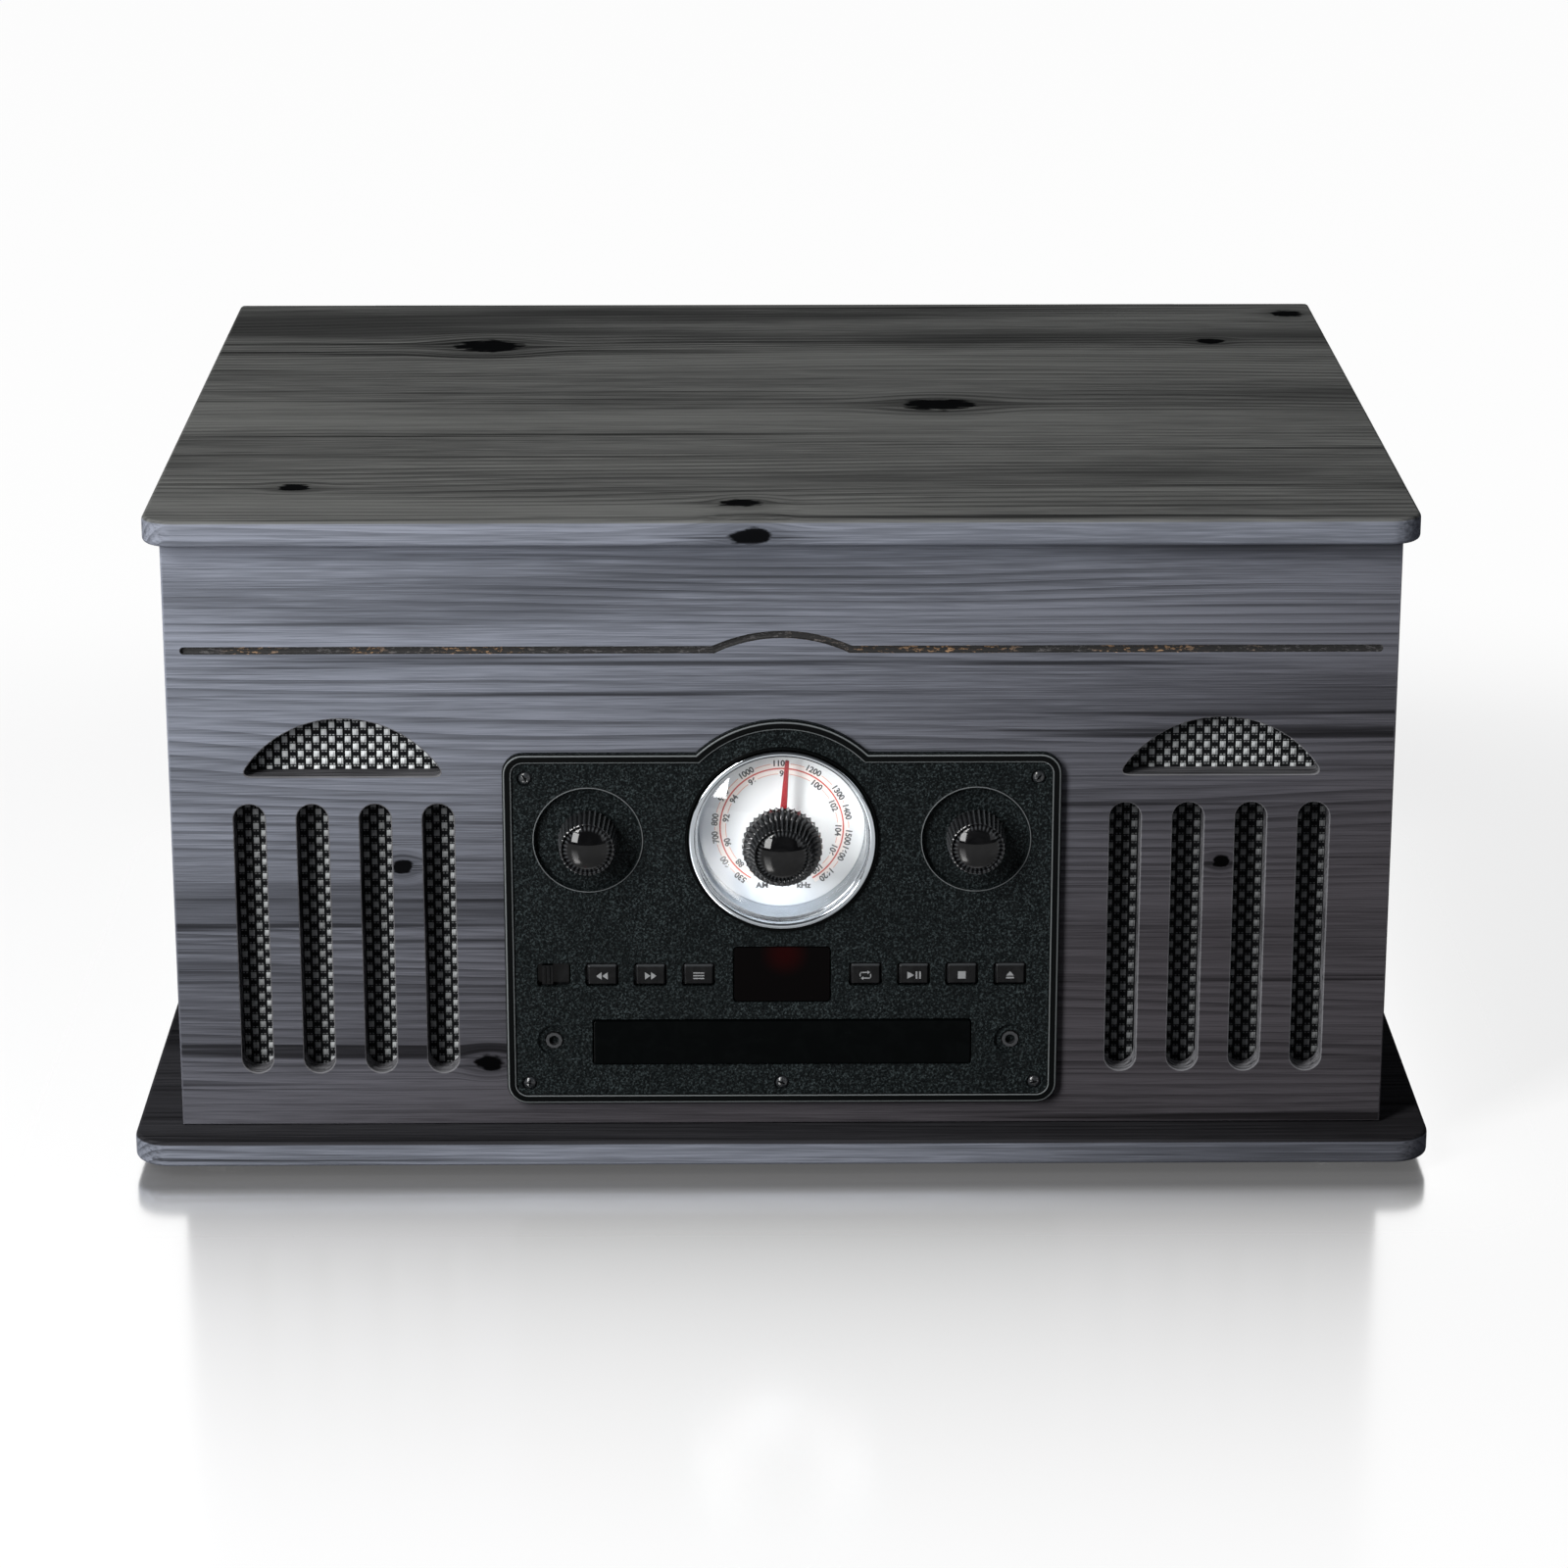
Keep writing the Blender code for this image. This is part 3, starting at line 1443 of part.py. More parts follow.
def build_mechanism():
    """The drawer's chassis: floor, side walls, legs, clamp bridge, laser rods and spindle motor."""
    inner = tray_width / 2 + mechanism_side_gap
    outer = inner + mechanism_wall
    floor_low = tray_low - mechanism_floor_drop
    floor_high = floor_low + mechanism_floor
    tray_top = tray_low + tray_thickness
    bridge_low = tray_top + mechanism_bridge_gap
    bridge_high = bridge_low + mechanism_bridge_thickness
    near = board_front
    far = tray_front + tray_length + mechanism_rear_space
    chassis = box("disc_mechanism", (-outer, near, floor_low), (outer, far, floor_high))
    window = box(
        "window",
        (-sled_window_width / 2, disc_y - spindle_disc_radius, floor_low - overrun),
        (sled_window_width / 2, disc_y + sled_window_length, floor_high + overrun),
    )
    cut(chassis, window)
    additions = []
    for side in (-1, 1):
        low = (side * inner, near, floor_low + joining)
        additions.append(box("side_wall", low, (side * outer, far, bridge_high)))
        ledge_high = tray_low - clearance
        ledge_low = (side * (inner - mechanism_ledge), near, ledge_high - mechanism_ledge)
        additions.append(box("ledge", ledge_low, (side * (inner + joining), far, ledge_high)))
        for y in (near, far - mechanism_leg_side):
            foot = (side * (outer - mechanism_leg_side), y, body_bottom)
            additions.append(box("leg", foot, (side * outer, y + mechanism_leg_side, floor_low + joining)))
        rod_place = (side * rod_offset, 0.0, floor_high + sled_height / 2)
        rod_near = disc_y - spindle_disc_radius - 2 * rod_radius
        rod_far = disc_y + sled_window_length + 2 * rod_radius
        steps = small_round_steps // 2
        additions.append(rod("laser_rod", "Y", rod_place, rod_radius, rod_near, rod_far, steps))
        for y in (rod_near, rod_far - 2 * rod_radius):
            block_low = (rod_place[0] - 2 * rod_radius, y, floor_low + joining)
            block_high = (rod_place[0] + 2 * rod_radius, y + 2 * rod_radius, rod_place[2] + 2 * rod_radius)
            additions.append(box("rod_block", block_low, block_high))
    bridge_near = disc_y - mechanism_bridge_width / 2
    bridge_far = disc_y + mechanism_bridge_width / 2
    additions.append(
        box("bridge", (-outer + joining, bridge_near, bridge_low), (outer - joining, bridge_far, bridge_high))
    )
    clamp_low = tray_top + spindle_hub_rise + clamp_gap
    additions.append(
        rod("clamp", "Z", (0.0, disc_y, 0.0), clamp_radius, clamp_low, bridge_low + joining, round_steps)
    )
    motor_top = spindle_disc_low() - disc_motor_gap
    bore = spindle_shaft_radius + clearance
    motor_profile = [
        (bore, floor_low + joining),
        (disc_motor_radius, floor_low + joining),
        (disc_motor_radius, motor_top),
        (bore, motor_top),
    ]
    additions.append(turned("disc_motor", "Z", (0.0, disc_y, 0.0), motor_profile, round_steps))
    beam_near = disc_y - spindle_disc_radius - joining
    additions.append(
        box(
            "motor_beam",
            (-disc_motor_radius / 2, beam_near, floor_low + joining / 2),
            (disc_motor_radius / 2, disc_y - bore - joining, floor_high),
        )
    )
    paint(join(chassis, *additions), grey_plastic)


def spindle_disc_low():
    """The underside of the disc spindle's table, just below the tray's recess."""
    return tray_low + tray_thickness - disc_recess_depth - spindle_disc_thickness


def build_disc_spindle():
    low = spindle_disc_low()
    high = low + spindle_disc_thickness
    hub_top = tray_low + tray_thickness + spindle_hub_rise
    profile = [
        (0, low - spindle_shaft_length),
        (spindle_shaft_radius, low - spindle_shaft_length),
        (spindle_shaft_radius, low),
        (spindle_disc_radius, low),
        (spindle_disc_radius, high),
        (spindle_hub_radius, high),
        (spindle_hub_radius, hub_top - spindle_disc_thickness),
        (spindle_hub_radius - spindle_disc_thickness / 2, hub_top),
        (0, hub_top),
    ]
    spindle = turned("disc_spindle", "Z", (0.0, disc_y, 0.0), profile)
    set_origin(paint(spindle, grey_plastic), (0.0, disc_y, low))


def build_laser_sled():
    """The laser carriage, which slides along two rods behind the spindle."""
    floor_high = tray_low - mechanism_floor_drop + mechanism_floor
    low = floor_high + clearance
    high = low + sled_height - 2 * clearance
    middle = disc_y + sled_first_radius
    half_length = sled_length / 2
    half_width = sled_width / 2
    near = middle - half_length
    far = middle + half_length
    sled = box("laser_sled", (-half_width, near, low), (half_width, far, high))
    lens = rod(
        "lens", "Z", (0.0, middle, high), sled_lens_radius, -joining, sled_lens_rise, small_round_steps
    )
    bores = [
        rod(
            "bore",
            "Y",
            (side * rod_offset, middle, floor_high + sled_height / 2),
            rod_radius + clearance,
            -sled_length,
            sled_length,
            small_round_steps // 2,
        )
        for side in (-1, 1)
    ]
    set_origin(paint(cut(join(sled, lens), *bores), cast_metal), (0.0, middle, low))


# Turntable


def build_deck_plate():
    """The moulded deck, resting on the cleats, with its holes and the tonearm's rest."""
    half = inside_half - clearance
    deck = box("deck_plate", (-half, inside_front, deck_bottom), (half, inside_back, deck_top))
    near = deck_bottom - overrun
    far = deck_top + overrun
    holes = [
        rod("bearing_hole", "Z", (platter_x, platter_y, 0.0), bearing_radius + clearance, near, far),
        rod("pulley_hole", "Z", (motor_x, motor_y, 0.0), pulley_hole_radius, near, far, small_round_steps),
    ]
    slot_half = speed_stem_side / 2 + clearance
    holes.append(
        box(
            "speed_slot",
            (speed_x - slot_half, speed_y - slot_half, near),
            (speed_x + speed_travel + slot_half, speed_y + slot_half, far),
        )
    )
    cut(deck, *holes)
    rest_y = pivot_y - rest_distance
    shelf_top = arm_z - arm_tube_radius - clearance
    near = (pivot_x - rest_width / 2, rest_y - rest_depth / 2, deck_top - joining)
    far = (pivot_x + rest_width / 2, rest_y + rest_depth / 2, shelf_top)
    paint(join(deck, box("rest_post", near, far)), textured_black)


def build_platter():
    """The platter with its inner belt ring, the rubber mat, and the bearing with the fixed spindle."""
    centre = (platter_x, platter_y, 0.0)
    bore = record_spindle_radius + clearance
    inner = platter_radius - platter_rim
    ring_inner = belt_ring_radius - belt_ring_wall
    ring_low = platter_plate_low - belt_ring_height
    recess = platter_top - mat_recess
    recess_radius = mat_radius + clearance
    profile = [
        (bore, platter_bottom),
        (platter_hub_radius, platter_bottom),
        (platter_hub_radius, platter_plate_low),
        (ring_inner, platter_plate_low),
        (ring_inner, ring_low),
        (belt_ring_radius, ring_low),
        (belt_ring_radius, platter_plate_low),
        (inner, platter_plate_low),
        (inner, platter_bottom),
        (platter_radius, platter_bottom),
        (platter_radius, platter_top - platter_bevel),
        (platter_radius - platter_bevel, platter_top),
        (recess_radius, platter_top),
        (recess_radius, recess),
        (bore, recess),
    ]
    platter = turned("platter", "Z", centre, profile, large_round_steps)
    set_origin(paint(platter, cast_metal), (platter_x, platter_y, platter_bottom))

    mat_low = recess + clearance
    mat_profile = [(bore, mat_low), (mat_radius, mat_low), (mat_radius, mat_top), (bore, mat_top)]
    mat = turned("platter_mat", "Z", centre, mat_profile, large_round_steps)
    set_origin(paint(mat, soft_black), (platter_x, platter_y, mat_low))

    flange_low = deck_top + clearance
    flange_high = flange_low + bearing_flange
    tip = mat_top + record_spindle_rise
    bearing_profile = [
        (0, deck_bottom - bearing_depth),
        (bearing_radius, deck_bottom - bearing_depth),
        (bearing_radius, flange_low),
        (bearing_flange_radius, flange_low),
        (bearing_flange_radius, flange_high),
        (record_spindle_radius, flange_high),
        (record_spindle_radius, tip - record_spindle_radius),
        (record_spindle_radius / 2, tip - record_spindle_radius / 4),
        (0, tip),
    ]
    paint(turned("platter_bearing", "Z", centre, bearing_profile), steel)


def belt_outline(offset):
    """The belt's path round the platter's ring and the pulley, offset outwards from both."""
    big = belt_ring_radius + clearance + offset
    small = pulley_radius + clearance + offset
    lean = degrees(asin((big - small) / motor_distance))
    towards = motor_bearing
    points = arc(motor_x, motor_y, small, towards - 90.0 + lean, towards + 90.0 - lean, 2 * corner_steps)
    return points + arc(
        platter_x, platter_y, big, towards + 90.0 - lean, towards + 270.0 + lean, large_round_steps
    )


def build_drive():
    """The motor under the deck, its pulley and the flat belt."""
    centre = (motor_x, motor_y, 0.0)
    motor_top = deck_bottom - clearance
    seat = motor_top - motor_shaft_seat
    bore = motor_shaft_radius + clearance
    motor_profile = [
        (0, seat - clearance),
        (bore, seat - clearance),
        (bore, motor_top),
        (motor_radius, motor_top),
        (motor_radius, motor_top - motor_height),
        (0, motor_top - motor_height),
    ]
    paint(turned("platter_motor", "Z", centre, motor_profile), cast_metal)

    ring_low = platter_plate_low - belt_ring_height
    belt_middle = ring_low + belt_ring_height / 2
    pulley_low = belt_middle - pulley_height / 2
    pulley_high = belt_middle + pulley_height / 2
    pulley_profile = [
        (0, seat),
        (motor_shaft_radius, seat),
        (motor_shaft_radius, pulley_low),
        (pulley_flange_radius, pulley_low),
        (pulley_flange_radius, pulley_low + pulley_flange),
        (pulley_radius, pulley_low + pulley_flange),
        (pulley_radius, pulley_high - pulley_flange),
        (pulley_flange_radius, pulley_high - pulley_flange),
        (pulley_flange_radius, pulley_high),
        (0, pulley_high),
    ]
    pulley = turned("motor_pulley", "Z", centre, pulley_profile)
    set_origin(paint(pulley, cast_metal), (motor_x, motor_y, pulley_low))

    low = belt_middle - belt_width / 2
    high = belt_middle + belt_width / 2
    belt = prism("drive_belt", "Z", belt_outline(belt_thickness), low, high)
    gap = prism("belt_gap", "Z", belt_outline(0.0), low - overrun, high + overrun)
    paint(cut(belt, gap), soft_black)


# Tonearm


def arm_path():
    """The tube's centre line from the pivot block to the headshell, bent near its end."""
    stylus_y = pivot_y - arm_length
    back = headshell_length - headshell_ahead
    turn = radians(headshell_angle)
    joint_x = pivot_x + back * sin(turn)
    joint_y = stylus_y + back * cos(turn)
    bend_y = joint_y + arm_bend_length
    steps = 2 * corner_steps
    points = [(pivot_x, pivot_y, arm_z), (pivot_x, bend_y, arm_z)]
    for i in range(1, steps + 1):
        share = i / steps
        ease = share * share * (3 - 2 * share)
        points.append((pivot_x + (joint_x - pivot_x) * ease, bend_y + (joint_y - bend_y) * share, arm_z))
    inside = headshell_ahead / 2
    return points + [(joint_x - inside * sin(turn), joint_y - inside * cos(turn), arm_z)]


def build_tonearm():
    """The fixed base with its cue bracket, the swinging gimbal, and the arm that lifts in it."""
    column_top = deck_top + clearance + arm_base_flange + arm_column_height
    shaft_bore = gimbal_shaft_radius + clearance
    gimbal_low = column_top + clearance
    shaft_end = gimbal_low - gimbal_shaft_length
    flange_low = deck_top + clearance
    base_profile = [
        (0, shaft_end - clearance),
        (shaft_bore, shaft_end - clearance),
        (shaft_bore, column_top),
        (arm_column_radius, column_top),
        (arm_column_radius, flange_low + arm_base_flange),
        (arm_base_radius, flange_low + arm_base_flange),
        (arm_base_radius, flange_low),
        (0, flange_low),
    ]
    centre = (pivot_x, pivot_y, 0.0)
    base = turned("tonearm_base", "Z", centre, base_profile)
    bracket_x = pivot_x + cue_offset
    cue_y = pivot_y - cue_forward
    cue_z = flange_low + cue_bracket_height - cue_bracket_depth / 2
    half_depth = cue_bracket_depth / 2
    bracket = box(
        "cue_bracket",
        (bracket_x - cue_bracket_thickness, cue_y - half_depth, flange_low + arm_base_flange - joining),
        (bracket_x, cue_y + half_depth, flange_low + cue_bracket_height),
    )
    cue_bore = rod(
        "cue_bore",
        "X",
        (bracket_x, cue_y, cue_z),
        cue_pin_radius + clearance,
        -cue_bracket_thickness - joining,
        overrun,
        small_round_steps,
    )
    paint(cut(join(base, bracket), cue_bore), soft_black)

    gimbal_high = gimbal_low + gimbal_plate
    gimbal_profile = [
        (0, shaft_end),
        (gimbal_shaft_radius, shaft_end),
        (gimbal_shaft_radius, gimbal_low),
        (gimbal_radius, gimbal_low),
        (gimbal_radius, gimbal_high),
        (0, gimbal_high),
    ]
    gimbal = turned("tonearm_gimbal", "Z", centre, gimbal_profile)
    cheeks = []
    for side in (-1, 1):
        near = pivot_x + side * cheek_gap
        far = pivot_x + side * (cheek_gap + cheek_thickness)
        cheeks.append(
            box(
                "cheek",
                (near, pivot_y - cheek_depth / 2, gimbal_low + joining),
                (far, pivot_y + cheek_depth / 2, arm_z + cheek_above_pivot),
            )
        )
    reach = cheek_gap + cheek_thickness
    pin_hole = rod(
        "pin_hole",
        "X",
        (pivot_x, pivot_y, arm_z),
        lift_pin_radius + clearance,
        -reach - overrun,
        reach + overrun,
        small_round_steps,
    )
    paint(cut(join(gimbal, *cheeks), pin_hole), cast_metal)
    set_origin(gimbal, (pivot_x, pivot_y, gimbal_low))

    half_block = cheek_gap - clearance
    block = box(
        "tonearm",
        (pivot_x - half_block, pivot_y - arm_block_depth / 2, arm_z - arm_block_height / 2),
        (pivot_x + half_block, pivot_y + arm_block_depth / 2, arm_z + arm_block_height / 2),
    )
    pin = rod("pin", "X", (pivot_x, pivot_y, arm_z), lift_pin_radius, -reach, reach, small_round_steps)
    tube = swept_rod("tube", arm_path(), arm_tube_radius)
    weight_end = arm_stub_length + counterweight_length
    weight_profile = [
        (0, 0.0),
        (arm_tube_radius, 0.0),
        (arm_tube_radius, arm_stub_length),
        (counterweight_radius - counterweight_bevel, arm_stub_length),
        (counterweight_radius, arm_stub_length + counterweight_bevel),
        (counterweight_radius, weight_end - counterweight_bevel),
        (counterweight_radius - counterweight_bevel, weight_end),
        (0, weight_end),
    ]
    weight = turned("weight", "Y", (pivot_x, pivot_y, arm_z), weight_profile)
    stylus_y = pivot_y - arm_length
    shell_low = arm_z - headshell_thickness / 2
    shell = box(
        "headshell",
        (pivot_x - headshell_width / 2, stylus_y - headshell_ahead, shell_low),
        (
            pivot_x + headshell_width / 2,
            stylus_y + headshell_length - headshell_ahead,
            shell_low + headshell_thickness,
        ),
    )
    cartridge_low = shell_low - cartridge_height
    cartridge = box(
        "cartridge",
        (pivot_x - cartridge_width / 2, stylus_y - headshell_ahead / 2, cartridge_low),
        (
            pivot_x + cartridge_width / 2,
            stylus_y - headshell_ahead / 2 + cartridge_length,
            shell_low + joining,
        ),
    )
    stylus = rod(
        "stylus",
        "Z",
        (pivot_x, stylus_y, cartridge_low),
        stylus_radius,
        -stylus_length,
        joining,
        small_round_steps // 2,
    )
    for part in (shell, cartridge):
        turn_about(part, "Z", -headshell_angle, (pivot_x, stylus_y, 0.0))
    arm = join(block, pin, tube, weight, shell, cartridge, stylus)
    set_origin(paint(arm, steel), (pivot_x, pivot_y, arm_z))

    lever_x = bracket_x + clearance
    half_width = cue_lever_width / 2
    lever_outline = arc(cue_y, cue_z, half_width, -90.0, 90.0, 2 * corner_steps)
    lever_outline += arc(cue_y - cue_lever_length, cue_z, half_width, 90.0, 270.0, 2 * corner_steps)
    lever = prism("cue_lever", "X", lever_outline, lever_x, lever_x + cue_lever_thickness)
    axle = rod(
        "axle",
        "X",
        (lever_x, cue_y, cue_z),
        cue_pin_radius,
        -clearance - cue_bracket_thickness,
        joining,
        small_round_steps,
    )
    set_origin(paint(join(lever, axle), textured_black), (lever_x, cue_y, cue_z))


def build_speed_switch():
    """The slide for the record speed, whose stem passes through the deck."""
    low = deck_top + clearance
    half_depth = speed_knob_depth / 2

    def outline_at(inset):
        width = speed_knob_width - 2 * inset
        depth = speed_knob_depth - 2 * inset
        return rounded_rectangle(speed_x, speed_y, width, depth, half_depth / 2 - inset)

    knob = rounded_slab(
        "speed_switch", "Z", outline_at, low, low + speed_knob_height, 0.0, half_depth / 4
    )
    half_stem = speed_stem_side / 2
    foot_high = deck_bottom - clearance
    foot_low = foot_high - speed_foot_thickness
    stem = box(
        "stem",
        (speed_x - half_stem, speed_y - half_stem, foot_low + joining),
        (speed_x + half_stem, speed_y + half_stem, low + joining),
    )
    half_foot = speed_foot_side / 2
    foot = box(
        "foot",
        (speed_x - half_foot, speed_y - half_foot, foot_low),
        (speed_x + half_foot, speed_y + half_foot, foot_high),
    )
    set_origin(paint(join(knob, stem, foot), gloss_black), (speed_x, speed_y, low))


# Power, amplifier and connectors


def build_amplifier_board():
    """The amplifier board on standoffs, with a heat sink and two reservoir capacitors."""
    low = body_bottom
    board_low_z = low + standoff_height
    board_high = board_low_z + board_thickness
    half_width = amplifier_width / 2
    half_depth = amplifier_depth / 2
    board = box(
        "amplifier_board",
        (amplifier_x - half_width, amplifier_y - half_depth, board_low_z),
        (amplifier_x + half_width, amplifier_y + half_depth, board_high),
    )
    additions = []
    for side_x in (-1, 1):
        for side_y in (-1, 1):
            x = amplifier_x + side_x * (half_width - standoff_side)
            y = amplifier_y + side_y * (half_depth - standoff_side)
            half = standoff_side / 2
            near = (x - half, y - half, low)
            additions.append(box("standoff", near, (x + half, y + half, board_low_z + joining)))
        capacitor = (amplifier_x + side_x * capacitor_pitch / 2, amplifier_y - half_depth / 2, board_high)
        additions.append(
            rod("capacitor", "Z", capacitor, capacitor_radius, -joining, capacitor_height, small_round_steps)
        )
    sink_y = amplifier_y + half_depth / 2
    additions.append(
        box(
            "heat_sink",
            (amplifier_x - heat_sink_width / 2, sink_y, board_high - joining),
            (amplifier_x + heat_sink_width / 2, sink_y + heat_sink_depth, board_high + heat_sink_height),
        )
    )
    paint(join(board, *additions), board_green)


def build_transformer():
    """The mains transformer: a laminated core, its winding and a mounting strap."""
    low = body_bottom
    core_low = low + transformer_foot_thickness - joining
    core = box(
        "power_transformer",
        (transformer_x - transformer_width / 2, transformer_y - transformer_depth / 2, core_low),
        (
            transformer_x + transformer_width / 2,
            transformer_y + transformer_depth / 2,
            core_low + transformer_height,
        ),
    )
    coil_low = core_low + (transformer_height - coil_height) / 2
    coil = box(
        "coil",
        (transformer_x - coil_width / 2, transformer_y - coil_depth / 2, coil_low),
        (transformer_x + coil_width / 2, transformer_y + coil_depth / 2, coil_low + coil_height),
    )
    strap = box(
        "strap",
        (transformer_x - transformer_foot_width / 2, transformer_y - transformer_depth / 3, low),
        (
            transformer_x + transformer_foot_width / 2,
            transformer_y + transformer_depth / 3,
            low + transformer_foot_thickness,
        ),
    )
    paint(join(core, coil, strap), cast_metal)


def build_connector_plate():
    """The plate on the back with two phono sockets and a two-pin mains inlet."""
    z = base_top + connector_height
    near = body_back + clearance
    far = near + connector_thickness

    def outline_at(inset):
        width = connector_width - 2 * inset
        height = connector_plate_height - 2 * inset
        return rounded_rectangle(connector_x, z, width, height, connector_corner_radius - inset)

    plate = rounded_slab("connector_plate", "Y", outline_at, near, far, 0.0, connector_thickness / 4)
    additions = []
    cutters = []
    for i in range(2):
        centre = (connector_x + phono_offset + (i - 1 / 2) * phono_pitch, far, z)
        profile = [
            (0, -joining),
            (phono_flange_radius, -joining),
            (phono_flange_radius, connector_thickness / 2),
            (phono_radius, connector_thickness / 2),
            (phono_radius, phono_length),
            (0, phono_length),
        ]
        additions.append(turned("phono_socket", "Y", centre, profile, small_round_steps))
        bore_end = phono_length + overrun
        cutters.append(
            rod(
                "phono_bore",
                "Y",
                centre,
                phono_bore_radius,
                connector_thickness,
                bore_end,
                small_round_steps,
            )
        )
    inlet_x = connector_x + inlet_offset
    shell = rectangle(inlet_x, z, inlet_width + 2 * inlet_wall, inlet_height + 2 * inlet_wall)
    additions.append(prism("inlet_shell", "Y", shell, far - inlet_depth - inlet_wall, near + joining))
    recess = rounded_rectangle(inlet_x, z, inlet_width, inlet_height, inlet_height / 2 - least_radius)
    cutters.append(prism("inlet_recess", "Y", recess, far - inlet_depth, far + overrun))
    cut(join(plate, *additions), *cutters)
    pins = [
        rod(
            "inlet_pin",
            "Y",
            (inlet_x + side * inlet_pin_pitch / 2, far - inlet_depth, z),
            inlet_pin_radius,
            -joining,
            inlet_pin_length,
            small_round_steps // 2,
        )
        for side in (-1, 1)
    ]
    paint(join(plate, *pins), grey_plastic)


def build_all():
    for old in list(bpy.data.objects):
        bpy.data.objects.remove(old, do_unlink=True)
    build_base_board()
    build_feet()
    build_front_panel()
    build_side_panels()
    build_back_panel()
    build_lid()
    build_hinges()
    build_lid_stay()
    build_loudspeakers()
    build_fascia()
    build_dial()
    build_tuning_knob()
    build_small_knobs()
    build_buttons()
    build_slide_switch()
    build_display()
    build_jacks()
    build_control_board()
    build_drawer()
    build_mechanism()
    build_disc_spindle()
    build_laser_sled()
    build_deck_plate()
    build_platter()
    build_drive()
    build_tonearm()
    build_speed_switch()
    build_amplifier_board()
    build_transformer()
    build_connector_plate()


build_all()
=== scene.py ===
"""The looks of a retro record player with speakers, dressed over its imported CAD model.

Metres, +Z up. The front faces -Y and X runs to the right, as in the model. The sections follow the object
as it is put together: cabinet, loudspeakers, fascia, dial, controls, disc drawer, lid, turntable, insides.
"""

from math import asin, atan2, cos, degrees, hypot, pi, radians, sin, sqrt

import bmesh
import bpy
from mathutils import Matrix, Vector
from mathutils.geometry import tessellate_polygon


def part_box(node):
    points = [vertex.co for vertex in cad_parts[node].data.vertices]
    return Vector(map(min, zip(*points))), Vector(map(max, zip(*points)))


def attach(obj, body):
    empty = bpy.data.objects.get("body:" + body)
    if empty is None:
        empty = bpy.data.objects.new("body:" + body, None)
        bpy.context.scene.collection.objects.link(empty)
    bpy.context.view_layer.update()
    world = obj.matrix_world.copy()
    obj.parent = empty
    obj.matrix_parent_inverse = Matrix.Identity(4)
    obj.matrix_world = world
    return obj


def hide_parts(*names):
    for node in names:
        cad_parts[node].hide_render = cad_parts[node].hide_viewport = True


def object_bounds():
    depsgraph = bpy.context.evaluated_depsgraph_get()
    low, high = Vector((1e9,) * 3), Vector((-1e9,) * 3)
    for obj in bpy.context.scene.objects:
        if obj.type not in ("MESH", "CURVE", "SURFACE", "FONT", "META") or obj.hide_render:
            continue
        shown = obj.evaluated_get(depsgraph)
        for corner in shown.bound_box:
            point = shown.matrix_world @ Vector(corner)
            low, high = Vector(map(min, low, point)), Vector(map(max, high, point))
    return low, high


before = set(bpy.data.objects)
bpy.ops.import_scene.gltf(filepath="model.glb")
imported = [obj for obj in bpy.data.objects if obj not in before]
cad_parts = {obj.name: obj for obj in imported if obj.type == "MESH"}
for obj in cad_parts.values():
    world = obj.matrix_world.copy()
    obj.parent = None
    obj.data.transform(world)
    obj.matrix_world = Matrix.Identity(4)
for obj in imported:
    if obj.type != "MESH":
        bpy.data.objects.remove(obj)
cad_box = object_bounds()


# Studio. A pale floor that stays white round the object but keeps its shadow, a window and a key lamp on
# the left, a weak fill on the right, and softer lamps behind and above. The camera stands where the
# photographer's did.
white = (1.0, 1.0, 1.0)
floor_reach = 8.0
floor_colour = (0.86, 0.86, 0.87)
floor_bounce = (0.20, 0.20, 0.21)
floor_reach_lit = 0.42
floor_lit_near = 0.32
floor_lit_far = 0.03
floor_mirror = 0.85
floor_mirror_half = 0.05
floor_mirror_roughness = 0.16
world_colour = (0.93, 0.96, 1.0)
world_strength = 0.10
room_side = -0.35
paper_side = 0.10
camera_place = (-0.0130, -1.6992, 0.6340)
camera_pitch = 17.86
camera_yaw = 0.51
camera_lens = 108.65


def plug(socket, value):
    """Links a signal or an output to an input socket, or sets the socket's own value."""
    if isinstance(value, Signal):
        value = value.socket
    if isinstance(value, bpy.types.NodeSocket):
        socket.id_data.links.new(value, socket)
    elif socket.type == "RGBA":
        socket.default_value = (*value, 1.0)
    else:
        socket.default_value = value


def place(tree, kind, settings=None, inputs=None):
    """Adds a shader node, with its settings by name and its inputs by name or number."""
    node = tree.nodes.new("ShaderNode" + kind)
    for name, value in (settings or {}).items():
        setattr(node, name, value)
    for name, value in (inputs or {}).items():
        plug(node.inputs[name], value)
    return node


